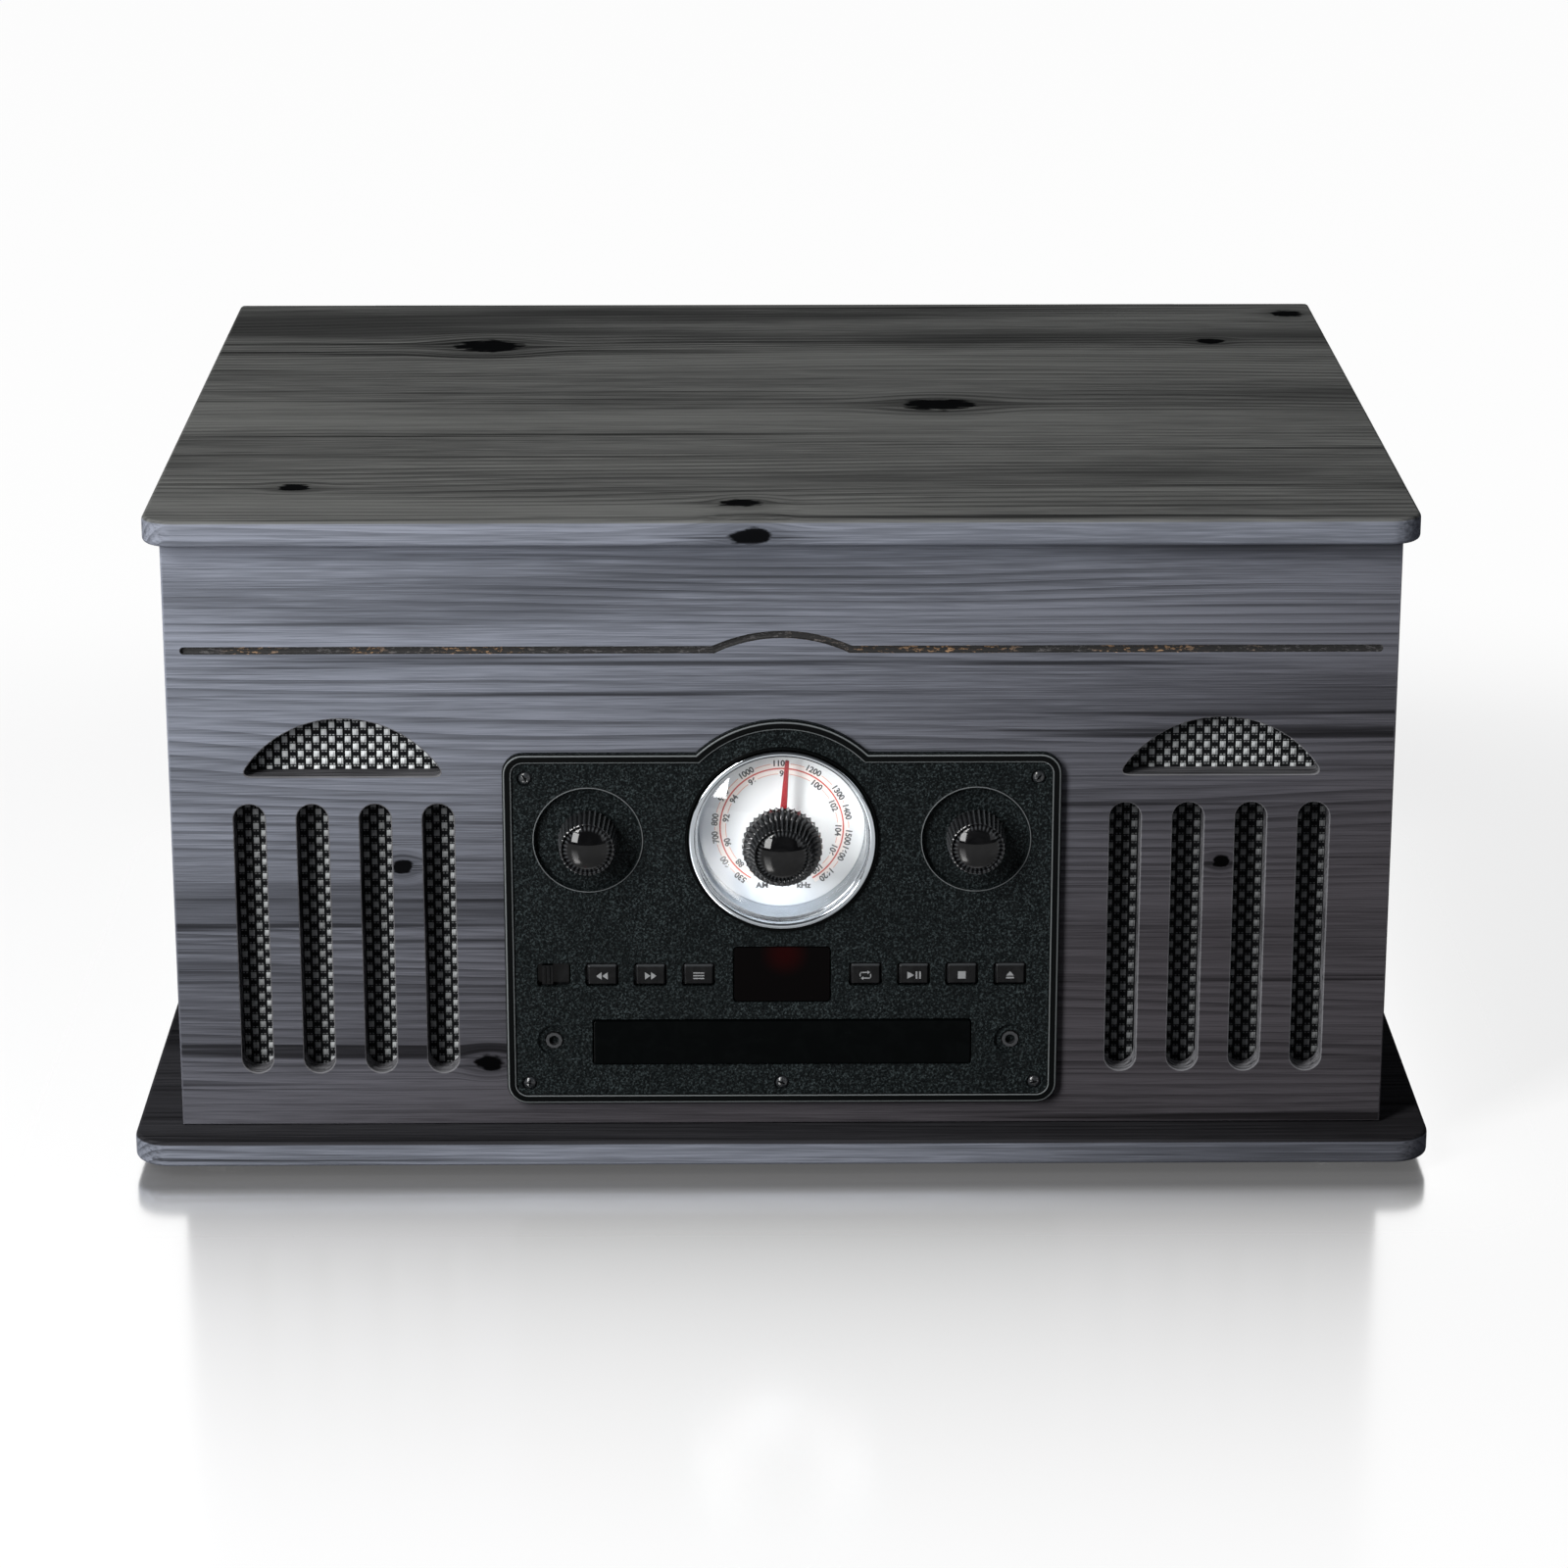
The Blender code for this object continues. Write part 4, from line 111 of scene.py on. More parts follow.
class Signal:
    """A shader node's output. Whatever is worked out from it adds nodes to its tree."""

    def __init__(self, socket):
        self.socket = socket
        self.tree = socket.id_data

    def place(self, kind, settings=None, inputs=None, output=0):
        return Signal(place(self.tree, kind, settings, inputs).outputs[output])

    def maths(self, operation, *others):
        return self.place("Math", {"operation": operation}, dict(enumerate((self, *others))))

    def vector_maths(self, operation, *others, output=0):
        return self.place("VectorMath", {"operation": operation}, dict(enumerate((self, *others))), output)

    def __add__(self, other):
        return self.maths("ADD", other)

    def __sub__(self, other):
        return self.maths("SUBTRACT", other)

    def __rsub__(self, other):
        return self.place("Math", {"operation": "SUBTRACT"}, {0: other, 1: self})

    def __mul__(self, other):
        return self.maths("MULTIPLY", other)

    def __truediv__(self, other):
        return self.maths("DIVIDE", other)

    def __rtruediv__(self, other):
        return self.place("Math", {"operation": "DIVIDE"}, {0: other, 1: self})

    def __abs__(self):
        return self.maths("ABSOLUTE")

    __radd__ = __add__
    __rmul__ = __mul__

    def highest(self, *others):
        result = self
        for other in others:
            result = result.maths("MAXIMUM", other)
        return result

    def spread(self, low, high, to_low=0.0, to_high=1.0, smooth=True):
        """Maps from one range to another, held at its ends."""
        inputs = {"Value": self, "From Min": low, "From Max": high, "To Min": to_low, "To Max": to_high}
        return self.place("MapRange", {"interpolation_type": "SMOOTHSTEP" if smooth else "LINEAR"}, inputs)

    def parts(self):
        return [Signal(part) for part in place(self.tree, "SeparateXYZ", inputs={0: self}).outputs]

    def scaled(self, *factors):
        return self.vector_maths("MULTIPLY", factors)

    def length(self):
        return self.vector_maths("LENGTH", output=1)

    def distance(self, *point):
        return self.vector_maths("DISTANCE", point, output=1)

    def noise(self, scale, detail=2.0, roughness=0.5, distortion=0.0):
        inputs = {"Vector": self, "Scale": scale, "Detail": detail, "Roughness": roughness}
        inputs["Distortion"] = distortion
        return self.place("TexNoise", inputs=inputs, output="Fac")

    def mix(self, first, second, mode="MIX"):
        """The colour between two at this share."""
        settings = {"data_type": "RGBA", "blend_type": mode}
        return self.place("Mix", settings, {0: self, 6: first, 7: second}, 2)

    def blend(self, first, second):
        """The shader between two at this share."""
        return self.place("MixShader", inputs={0: self, 1: first, 2: second})

    def bump(self, distance, strength=1.0):
        return self.place("Bump", inputs={"Height": self, "Distance": distance, "Strength": strength})


def shader(tree, kind, **inputs):
    """A shader with its inputs by name, an underscore for each space."""
    named = {name.replace("_", " "): value for name, value in inputs.items()}
    return Signal(place(tree, kind, inputs=named).outputs[0])


def new_material(name):
    """An empty material, the socket for its shader, and where each point is on the object."""
    material = bpy.data.materials.new(name)
    material.use_nodes = True
    tree = material.node_tree
    tree.nodes.clear()
    surface = place(tree, "OutputMaterial").inputs["Surface"]
    return material, surface, Signal(place(tree, "TexCoord").outputs["Object"])


def new_object(name, data):
    piece = bpy.data.objects.new(name, data)
    bpy.context.scene.collection.objects.link(piece)
    return piece


def seen_directly(tree, mirrored=1.0):
    """1 for rays from the camera or glass, mirrored for those from gloss, and 0 for light that bounces."""
    path = place(tree, "LightPath").outputs
    gloss = Signal(path["Is Glossy Ray"]) * mirrored
    return gloss.highest(path["Is Camera Ray"], path["Is Transmission Ray"])


floor_material, surface, spot = new_material("studio_floor")
tree = surface.id_data
beyond = spot.vector_maths("ABSOLUTE").vector_maths("SUBTRACT", (cad_box[1].x, cad_box[1].y, 0.0))
away = beyond.vector_maths("MAXIMUM", (0.0, 0.0, 0.0)).length()
share_lit = away.spread(0.0, floor_reach_lit, floor_lit_near, floor_lit_far)
lit = shader(tree, "BsdfDiffuse", Color=floor_colour)
bounce = shader(tree, "BsdfDiffuse", Color=floor_bounce)
paper = shader(tree, "Emission", Color=white, Strength=1.0)
mirror = shader(tree, "BsdfAnisotropic", Color=white, Roughness=floor_mirror_roughness)
polish = floor_mirror / (away / floor_mirror_half + 1.0) * (share_lit / floor_lit_near)
plug(surface, seen_directly(tree).blend(bounce, polish.blend(share_lit.blend(paper, lit), mirror)))

floor_mesh = bpy.data.meshes.new("studio_floor")
floor_corners = [(x * floor_reach, y * floor_reach, 0.0) for x, y in ((-1, -1), (1, -1), (1, 1), (-1, 1))]
floor_mesh.from_pydata(floor_corners, [], [(0, 1, 2, 3)])
floor_mesh.materials.append(floor_material)
new_object("studio_floor", floor_mesh)

world = bpy.data.worlds.new("studio")
world.use_nodes = True
tree = world.node_tree
tree.nodes.clear()
room = shader(tree, "Background", Color=world_colour, Strength=world_strength)
paper = shader(tree, "Background", Color=white, Strength=1.0)
backdrop = Signal(place(tree, "TexCoord").outputs["Generated"]).parts()[1].spread(room_side, paper_side)
plug(place(tree, "OutputWorld").inputs["Surface"], seen_directly(tree, backdrop).blend(room, paper))
bpy.context.scene.world = world

for name, at, towards, size, power, colour in (
    ("window_softbox", (-0.86, -1.16, 0.56), (0.0, -0.16, 0.13), (0.44, 0.62), 17.5, white),
    ("key_softbox", (-1.10, -1.35, 1.60), (0.0, -0.10, 0.10), (0.55, 0.65), 33.0, (1.0, 0.99, 0.97)),
    ("fill_softbox", (1.90, -1.60, 0.90), (0.0, 0.00, 0.10), (0.90, 0.90), 3.0, (0.95, 0.97, 1.0)),
    ("rear_strip", (0.10, 1.30, 1.60), (0.0, 0.05, 0.15), (1.60, 0.50), 5.0, (0.97, 0.99, 1.0)),
    ("top_softbox", (0.00, -0.30, 2.10), (0.0, 0.00, 0.20), (1.20, 0.80), 4.5, white),
):
    lamp = bpy.data.lights.new(name, "AREA")
    lamp.shape = "RECTANGLE"
    lamp.size, lamp.size_y = size
    lamp.energy = power
    lamp.color = colour
    holder = new_object(name, lamp)
    holder.location = at
    holder.rotation_euler = (Vector(towards) - Vector(at)).to_track_quat("-Z", "Y").to_euler()

camera = bpy.data.cameras.new("photo_camera")
camera.sensor_width = 36.0
camera.lens = camera_lens
camera_holder = new_object("photo_camera", camera)
camera_holder.location = camera_place
camera_holder.rotation_euler = (radians(90.0 - camera_pitch), 0.0, radians(-camera_yaw))
bpy.context.scene.camera = camera_holder
bpy.context.scene.view_settings.view_transform = "Standard"


# Base board and cabinet boards. Pine, stained black and brushed, so that the soft grain stands a little
# paler, then lacquered satin. The base has a wide rounded front and the carcass stands on it.
cabinet_tones = ((0.0170, 0.0180, 0.0210), (0.122, 0.131, 0.156), (0.210, 0.226, 0.270))
# The base top's tones are a painted shade: darker copies of the cabinet's, which the base's front takes.
base_top_shaded_tones = ((0.006, 0.006, 0.007), (0.018, 0.018, 0.020), (0.034, 0.034, 0.038))
# Painted shade: the colour the wood is multiplied towards where it is painted darker, on the front towards
# the right and the bottom, and on the base towards the right.
painted_wood_shade = (0.29, 0.250, 0.235)
knot_black = (0.0022, 0.0024, 0.0027)
wood_roughness = 0.48
wood_relief = 0.00025
board_round = 0.0015
board_round_steps = 4
board_corner_steps = 10
board_wear_and_sheen_reach = 0.0012
base_corner = 0.013
rear_corner = 0.0022


def make_group(name, inputs, outputs, fill):
    """A node group. Its inputs are kinds, or a number's usual value. fill turns them into its outputs."""
    tree = bpy.data.node_groups.new(name, "ShaderNodeTree")
    for title, kind in inputs.items():
        usual = None if isinstance(kind, str) else kind
        kind = kind if usual is None else "Float"
        socket = tree.interface.new_socket(title, in_out="INPUT", socket_type="NodeSocket" + kind)
        if usual is not None:
            socket.default_value = usual
    for title, kind in outputs.items():
        tree.interface.new_socket(title, in_out="OUTPUT", socket_type="NodeSocket" + kind)
    given = tree.nodes.new("NodeGroupInput").outputs
    made = tree.nodes.new("NodeGroupOutput").inputs
    for title, value in fill({title: Signal(given[title]) for title in inputs}).items():
        plug(made[title], value)
    return tree


def use_group(group, **inputs):
    """Places a node group in the tree of its Vector and gives back its outputs."""
    node = place(inputs["Vector"].tree, "Group", {"node_tree": group}, inputs)
    return {socket.name: Signal(socket) for socket in node.outputs}


def bend_round_knot(given):
    """Bends the grain round one knot, and adds the knot, its halo and its dark tails to a mask."""
    vector = given["Vector"]
    away = vector.vector_maths("SUBTRACT", given["Centre"])
    share = away.vector_maths("DIVIDE", given["Reach"])
    size = share.length()
    pull = size.spread(2.6, 0.2, 0.0, 0.86)
    pulled = {0: away.scaled(0.0, 1.0, 1.0), "Scale": pull}
    pulled = away.place("VectorMath", {"operation": "SCALE"}, pulled)
    ragged = vector.scaled(0.4, 1.0, 1.0).noise(380.0, 3.0)
    heart = (size + ragged * 1.1).spread(1.62, 1.22)
    halo = size.spread(2.1, 0.9) * 0.30
    streaks = vector.scaled(8.0, 1300.0, 1300.0).noise(1.0)
    tails = share.scaled(0.34, 1.7, 1.0).length().spread(1.25, 0.35) * streaks.spread(0.40, 0.60)
    mask = given["Mask"].highest(heart, halo, tails * 0.75)
    return {"Vector": vector.vector_maths("SUBTRACT", pulled), "Mask": mask}


def stained_grain(given):
    """Brushed and stained softwood along X: broad bands, long dark lines, fine fibres and knots."""
    vector = given["Vector"]
    knots = given["Knots"]
    wear_and_sheen = given["Worn"]

    def drawn(along, across, *details):
        return vector.scaled(along, across, across).noise(1.0, *details)

    years = (vector.parts()[1] + vector.parts()[2]) * 300.0
    saw = (years + drawn(2.0, 13.0, 2.0, 0.4) * 12.0).maths("FRACT")
    rings = saw.spread(0.30, 0.92) * saw.spread(1.0, 0.94) * drawn(3.5, 55.0).spread(0.36, 0.66)
    bands = drawn(2.2, 30.0, 3.0, 0.55)
    fibres = drawn(45.0, 2300.0)
    lines = drawn(5.0, 900.0, 2.0, 0.6).spread(0.50, 0.66)
    streaks = drawn(2.4, 190.0, 3.0, 0.6).spread(0.57, 0.70)
    colour = (bands * 0.60 + fibres * 0.40).spread(0.38, 0.62).mix(given["Middle"], given["Pale"])
    for mask, strength in ((bands.spread(0.46, 0.30), 0.40), (rings, 0.52), (lines, 0.34), (streaks, 0.80)):
        colour = (mask * strength).mix(colour, given["Dark"])
    colour = (knots * 0.99).mix(colour, knot_black)
    # Paler where edges are marked: partly wear, partly a painted highlight.
    return {
        "Color": (wear_and_sheen * 0.75).mix(colour, given["Pale"]),
        "Roughness": wood_roughness + lines * 0.14 - wear_and_sheen * 0.08 + bands * 0.06,
        "Height": fibres * 0.45 - rings * 0.35 - lines * 0.20 - knots * 0.4,
    }


knot_inputs = {"Vector": "Vector", "Mask": "Float", "Centre": "Vector", "Reach": "Vector"}
knot_group = make_group("grain_knot", knot_inputs, {"Vector": "Vector", "Mask": "Float"}, bend_round_knot)
grain_inputs = {"Vector": "Vector", "Knots": "Float", "Worn": "Float"}
grain_inputs.update(Dark="Color", Middle="Color", Pale="Color")
grain_outputs = {"Color": "Color", "Roughness": "Float", "Height": "Float"}
grain_group = make_group("stained_grain", grain_inputs, grain_outputs, stained_grain)


def how_worn(vector):
    """How pale each point is marked, partly by wear and partly as a painted highlight."""
    return vector.place("Attribute", {"attribute_name": "wear_and_sheen"}, output="Fac")


def principled(surface, **inputs):
    plug(surface, shader(surface.id_data, "BsdfPrincipled", **inputs))


def make_wood(name, tones, knots=(), along_y=False, edge_below=None, painted_shade=None, coarse=1.0):
    """Stained wood with its grain along X or Y. Each knot is a centre and a reach, in metres.

    Below the height edge_below it takes the cabinet's tones, and above it its own, which for the lid and
    the base are darker as a painted shade on their tops. The painted shade is a slope in each direction and
    a start: the wood darkens to the colour of the painted wood shade as their sum goes from 0 to 1.
    """
    material, surface, vector = new_material(name)
    if along_y:
        x, y, z = vector.parts()
        vector = vector.place("CombineXYZ", inputs={0: y, 1: x, 2: z})
    if edge_below is not None:
        edge = vector.parts()[2].spread(edge_below, edge_below - 0.0006)
        tones = [edge.mix(top, front) for top, front in zip(tones, cabinet_tones)]
    mask = 0.0
    for centre, reach in knots:
        bent = use_group(knot_group, Vector=vector, Mask=mask, Centre=centre, Reach=reach)
        vector = bent["Vector"]
        mask = bent["Mask"]
    inputs = dict(zip(("Dark", "Middle", "Pale"), tones), Knots=mask, Worn=how_worn(vector))
    grain = use_group(grain_group, Vector=vector.scaled(1.0, 1.0 / coarse, 1.0 / coarse), **inputs)
    colour = grain["Color"]
    # Painted shade: the wood darkens along the slope.
    if painted_shade:
        slope, start = painted_shade
        depth = vector.vector_maths("DOT_PRODUCT", slope, output=1) + start
        colour = depth.spread(0.0, 1.0).mix(colour, painted_wood_shade, "MULTIPLY")
    principled(
        surface,
        Base_Color=colour,
        Roughness=grain["Roughness"],
        Normal=grain["Height"].bump(wood_relief, 0.8),
        Specular_IOR_Level=0.0,
    )
    return material


def arc(middle_u, middle_v, radius, start, end, steps):
    """Points along an arc, with its angles in degrees."""
    turns = [radians(start + (end - start) * i / steps) for i in range(steps + 1)]
    return [(middle_u + radius * cos(turn), middle_v + radius * sin(turn)) for turn in turns]


def on_axis(axis, first, second, along):
    """A point from its two coordinates across an axis and the one along it."""
    return (first, along, second) if axis == "Y" else (first, second, along)


def finish_piece(piece, materials, body, stands_for=(), angle=35.0):
    """Gives a piece its materials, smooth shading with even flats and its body."""
    for material in materials:
        piece.data.materials.append(material)
    piece.data.shade_smooth()
    piece.data.set_sharp_from_angle(angle=radians(angle))
    piece.modifiers.new("even_flats", "WEIGHTED_NORMAL").keep_sharp = True
    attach(piece, body)
    if stands_for:
        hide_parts(*stands_for)


def mesh_piece(name, shape):
    """Turns a bmesh into an object whose faces point outwards."""
    bmesh.ops.recalc_face_normals(shape, faces=shape.faces)
    mesh = bpy.data.meshes.new(name)
    shape.to_mesh(mesh)
    shape.free()
    return new_object(name, mesh)


def join_rings(shape, rings, number=0):
    """Skins the bands between rings of matching corners."""
    for lower, upper in zip(rings, rings[1:]):
        for i in range(len(lower)):
            j = (i + 1) % len(lower)
            shape.faces.new((lower[i], lower[j], upper[j], upper[i])).material_index = number


def loft(name, axis, rings):
    """A capped skin through rings of matching points, each an outline and a level."""
    shape = bmesh.new()
    loops = [[shape.verts.new(on_axis(axis, u, v, level)) for u, v in outline] for outline, level in rings]
    join_rings(shape, loops)
    shape.faces.new(loops[0])
    shape.faces.new(loops[-1])
    return mesh_piece(name, shape)


def rounded_slab(name, axis, outline_at, low, high, low_round, high_round):
    """A board between two levels with rounded edges. outline_at(inset) is its outline, drawn in."""
    turns = [radians(90.0 * i / board_round_steps) for i in range(board_round_steps + 1)]
    rings = [(outline_at(low_round * (1 - sin(t))), low + low_round * (1 - cos(t))) for t in turns]
    rings += [(outline_at(high_round * (1 - cos(t))), high - high_round * (1 - sin(t))) for t in turns]
    return loft(name, axis, rings)


def rounded_rectangle(middle_u, middle_v, width, height, radius, steps=6):
    u = width / 2 - radius
    v = height / 2 - radius
    points = []
    for start, side_u, side_v in ((180.0, -1, -1), (270.0, 1, -1), (0.0, 1, 1), (90.0, -1, 1)):
        points += arc(middle_u + side_u * u, middle_v + side_v * v, radius, start, start + 90.0, steps)
    return points


def mark_worn(piece, wear_at):
    """Stores how pale each point is, from 0 to 1, partly wear and partly painted highlight, for the
    material.
    """
    layer = piece.data.attributes.new("wear_and_sheen", "FLOAT", "POINT")
    layer.data.foreach_set("value", [wear_at(point.co) for point in piece.data.vertices])


def worn_edges(low, high, reach):
    """Wear and a painted highlight along a board's edges, where two of its faces meet, fading away from
    them.
    """

    def wear_at(point):
        gaps = sorted(min(point[i] - low[i], high[i] - point[i]) for i in range(3))
        return 1.0 - min(gaps[1] / reach, 1.0)

    return wear_at


def make_board(name, node, front_corner):
    """A level board in a node's box: its corners rounded in front and nearly square behind."""
    low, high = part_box(node)

    def outline_at(inset):
        front = front_corner - inset
        rear = rear_corner - inset
        points = arc(low.x + front_corner, low.y + front_corner, front, 180.0, 270.0, board_corner_steps)
        points += arc(high.x - front_corner, low.y + front_corner, front, 270.0, 360.0, board_corner_steps)
        points += arc(high.x - rear_corner, high.y - rear_corner, rear, 0.0, 90.0, 3)
        return points + arc(low.x + rear_corner, high.y - rear_corner, rear, 90.0, 180.0, 3)

    board = rounded_slab(name, "Z", outline_at, low.z, high.z, board_round, board_round)
    mark_worn(board, worn_edges(low, high, board_wear_and_sheen_reach))
    return board


def dress(material, *names):
    """Gives nodes of the model a material."""
    for name in names:
        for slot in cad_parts[name].material_slots:
            slot.material = material


base_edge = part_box("base_board")[1].z - 0.0008
# The base's top is a painted shade darker than its front, and the whole base is painted darker towards the
# right.
base_wood = make_wood("base_wood", base_top_shaded_tones, edge_below=base_edge, painted_shade=((1.5, 0.0, 0.0), 0.15))
base_board = make_board("base_board_stained", "base_board", base_corner)
finish_piece(base_board, [base_wood], "cabinet", ["base_board"])
side_knot = ((0.030, -0.209, 0.150), (0.008, 0.02, 0.005))
dress(make_wood("side_wood", cabinet_tones, [side_knot], True), "left_side_panel", "right_side_panel")
dress(make_wood("plain_wood", cabinet_tones), "back_panel")


# Feet. Turned black rubber, a little chalky with age, each held under the base by a screw that is sunk
# in its sole.
foot_colour = (0.012, 0.012, 0.013)


def surface_skin(given):
    """What a surface has from its mould, tool or polishing: cloudy patches and a fine grain."""
    patch = given["Vector"].noise(given["Patches"], 3.0, 0.6, given["Swirl"])
    return {"Patch": patch, "Grain": given["Vector"].noise(given["Grain"])}


skin_inputs = {"Vector": "Vector", "Patches": 60.0, "Swirl": 0.0, "Grain": 3000.0}
skin_group = make_group("surface_skin", skin_inputs, {"Patch": "Float", "Grain": "Float"}, surface_skin)


def make_plastic(name, colour, roughness, mottle=0.05, grain=3000.0, height=0.00002):
    """Moulded plastic or rubber, slightly mottled and with a fine skin: paler on wear and painted
    highlights.
    """
    material, surface, vector = new_material(name)
    skin = use_group(skin_group, Vector=vector, Grain=grain)
    lighter = [min(1.0, part * 1.35 + 0.002) for part in colour]
    share = skin["Patch"].spread(0.35, 0.7) * 0.5 + how_worn(vector)
    rough = skin["Patch"].spread(0.3, 0.7, roughness - mottle, roughness + mottle)
    normal = skin["Grain"].bump(height)
    principled(surface, Base_Color=share.mix(colour, lighter), Roughness=rough, Normal=normal)
    return material


rubber = make_plastic("foot_rubber", foot_colour, 0.72, 0.08)
dress(rubber, *[f"foot_{end}_{side_name}" for end in ("front", "rear") for side_name in ("left", "right")])


# Front panel. One stained board, sawn with four slots and a half-moon before each loudspeaker, and with a
# thin routed groove across it, where the raw tan wood shows through the stain.
panel_edge_round = 0.0008
panel_wear_and_sheen_reach = 0.0007
cut_edge_round = 0.0004
lip_depth = 0.0008
# The lips of the slots and half-moons are pale: partly wear, partly a painted highlight.
lip_wear_and_sheen = 0.9
groove_edge_round = 0.0002
groove_level = 0.1865
groove_width = 0.0022
groove_depth = 0.0015
groove_half_length = 0.2023
hump_half_width = 0.0233
hump_rise = 0.0053
grille_offset = 0.1498
slot_pitch = 0.0215
slot_width = 0.0107
slot_low = 0.0337
slot_high = 0.1317
moon_low = 0.1417
moon_width = 0.0695
moon_rise = 0.0205
moon_corner = 0.0042
tub_hole_inset = 0.0049
fascia_half = 0.0955
fascia_low = 0.0229
fascia_high = 0.1503
fascia_corner = 0.0072
dial_z = 0.1195
arch_radius = 0.0426
raw_tan = (0.30, 0.18, 0.095)
raw_grey = (0.075, 0.072, 0.074)
groove_dark = (0.0060, 0.0058, 0.0060)
cut_pale_and_sheen = (0.150, 0.150, 0.160)
# Painted shade on the front: darker towards the right and the bottom.
front_painted_shade = ((1.6, 0.0, -4.3), 1.09)


def drawn_out(loop, distance):
    """A loop of points moved outwards by a distance, or inwards where it is negative."""
    count = len(loop)
    area = sum(loop[i - 1][0] * loop[i][1] - loop[i][0] * loop[i - 1][1] for i in range(count))
    turn = distance if area > 0 else -distance
    moved = []
    for i, (u, v) in enumerate(loop):
        before = loop[i - 1]
        after = loop[(i + 1) % count]
        first = Vector((v - before[1], before[0] - u)).normalized()
        second = Vector((after[1] - v, u - after[0])).normalized()
        middle = (first + second).normalized()
        reach = turn / max(middle.dot(first), 0.5)
        moved.append((u + middle.x * reach, v + middle.y * reach))
    return moved


def edge(loop, steps, ending="through", number=0):
    """An edge of a plate: its loop drawn out by each distance at its level, its ending and its material."""
    rings = [(drawn_out(loop, distance) if distance else loop, level) for distance, level in steps]
    return rings, ending, number


def eased(radius, level, steps=3):
    """The steps of a rounded edge that leads back from a face at a level."""
    turns = [radians(90.0 * i / steps) for i in range(steps + 1)]
    return [(radius * (1 - sin(turn)), level + radius * (1 - cos(turn))) for turn in turns]


def pierced_plate(name, edges):
    """A flat face inside its outer edge, with openings through or into it.

    Each edge is its rings, how it ends ("through", "floor" or "open") and its faces' material number.
    """
    shape = bmesh.new()
    first_loops = []
    last_loops = []
    for rings, ending, number in edges:
        loops = [[shape.verts.new((u, level, v)) for u, v in loop] for loop, level in rings]
        join_rings(shape, loops, number)
        if ending == "floor":
            shape.faces.new(loops[-1]).material_index = number
        if ending == "through":
            last_loops.append((rings[-1][0], loops[-1]))
        first_loops.append((rings[0][0], loops[0]))
    for chosen in (first_loops, last_loops):
        flat = [[Vector((u, v, 0.0)) for u, v in loop] for loop, corners in chosen]
        corners = [corner for loop, corners in chosen for corner in corners]
        for triangle in tessellate_polygon(flat):
            shape.faces.new([corners[i] for i in triangle])
    return mesh_piece(name, shape)


def bow(width, rise):
    """The radius of a bow over a width that rises so far, and its half angle in degrees."""
    radius = ((width / 2) ** 2 + rise**2) / (2 * rise)
    return radius, degrees(asin(width / 2 / radius))


def groove_outline():
    """The groove's outline: a level line with round ends and a low hump in the middle."""
    half = groove_width / 2
    radius, tilt = bow(2 * hump_half_width, hump_rise)
    middle = groove_level + hump_rise - radius
    lower = arc(0.0, middle, radius - half, 90.0 + tilt, 90.0 - tilt, 24)
    upper = arc(0.0, middle, radius + half, 90.0 - tilt, 90.0 + tilt, 24)
    for end in (0, -1):
        lower[end] = (lower[end][0], groove_level - half)
        upper[end] = (upper[end][0], groove_level + half)
    left_end = arc(-groove_half_length, groove_level, half, 90.0, 270.0, 8)
    right_end = arc(groove_half_length, groove_level, half, -90.0, 90.0, 8)
    return left_end + lower + right_end + upper


def eased_corner(before, tip, after, steps=5):
    """Points that round a corner from one side's point to the other's."""
    points = []
    for i in range(steps + 1):
        t = i / steps
        share = ((1 - t) ** 2, 2 * t * (1 - t), t**2)
        points.append(tuple(sum(k * p[j] for k, p in zip(share, (before, tip, after))) for j in (0, 1)))
    return points


def moon_outline(middle_x):
    """A half-moon's outline: an arc over a level sill, with small round corners."""
    radius, tilt = bow(moon_width, moon_rise)
    top = arc(middle_x, moon_low + moon_rise - radius, radius, 90.0 - tilt, 90.0 + tilt, 48)
    right = eased_corner((top[0][0] - moon_corner, moon_low), top[0], top[2])
    left = eased_corner(top[-3], top[-1], (top[-1][0] + moon_corner, moon_low))
    return right + top[3:-3] + left


def fascia_outline(inset):
    """The fascia's outline, drawn in: a rounded rectangle with an arch over the dial."""
    half = fascia_half - inset
    low = fascia_low + inset
    high = fascia_high - inset
    radius = max(fascia_corner - inset, 0.0004)
    arch = arch_radius - inset
    foot = degrees(asin((high - dial_z) / arch))
    points = arc(-half + radius, low + radius, radius, 180.0, 270.0, 10)
    points += arc(half - radius, low + radius, radius, 270.0, 360.0, 10)
    points += arc(half - radius, high - radius, radius, 0.0, 90.0, 10)
    points += arc(0.0, dial_z, arch, foot, 180.0 - foot, 48)
    return points + arc(-half + radius, high - radius, radius, 90.0, 180.0, 10)


def box_outline(left, low, right, high):
    return [(left, low), (right, low), (right, high), (left, high)]


panel_low, panel_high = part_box("front_panel")
panel_front = panel_low.y
panel_back = panel_high.y
panel_outline = box_outline(panel_low.x, panel_low.z, panel_high.x, panel_high.z)
inwards = [(-distance, level) for distance, level in eased(panel_edge_round, panel_front)]
panel_edges = [edge(panel_outline, inwards + [(0.0, panel_back)])]
cut_steps = eased(cut_edge_round, panel_front) + [(0.0, panel_front + lip_depth), (0.0, panel_back)]
slot_size = (slot_width, slot_high - slot_low, slot_width / 2 - 0.0001)
for side in (-1, 1):
    panel_edges.append(edge(moon_outline(side * grille_offset), cut_steps, number=2))
    for i in range(4):
        slot_x = side * grille_offset + (i - 1.5) * slot_pitch
        slot_outline = rounded_rectangle(slot_x, (slot_low + slot_high) / 2, *slot_size, 16)
        panel_edges.append(edge(slot_outline, cut_steps, number=2))
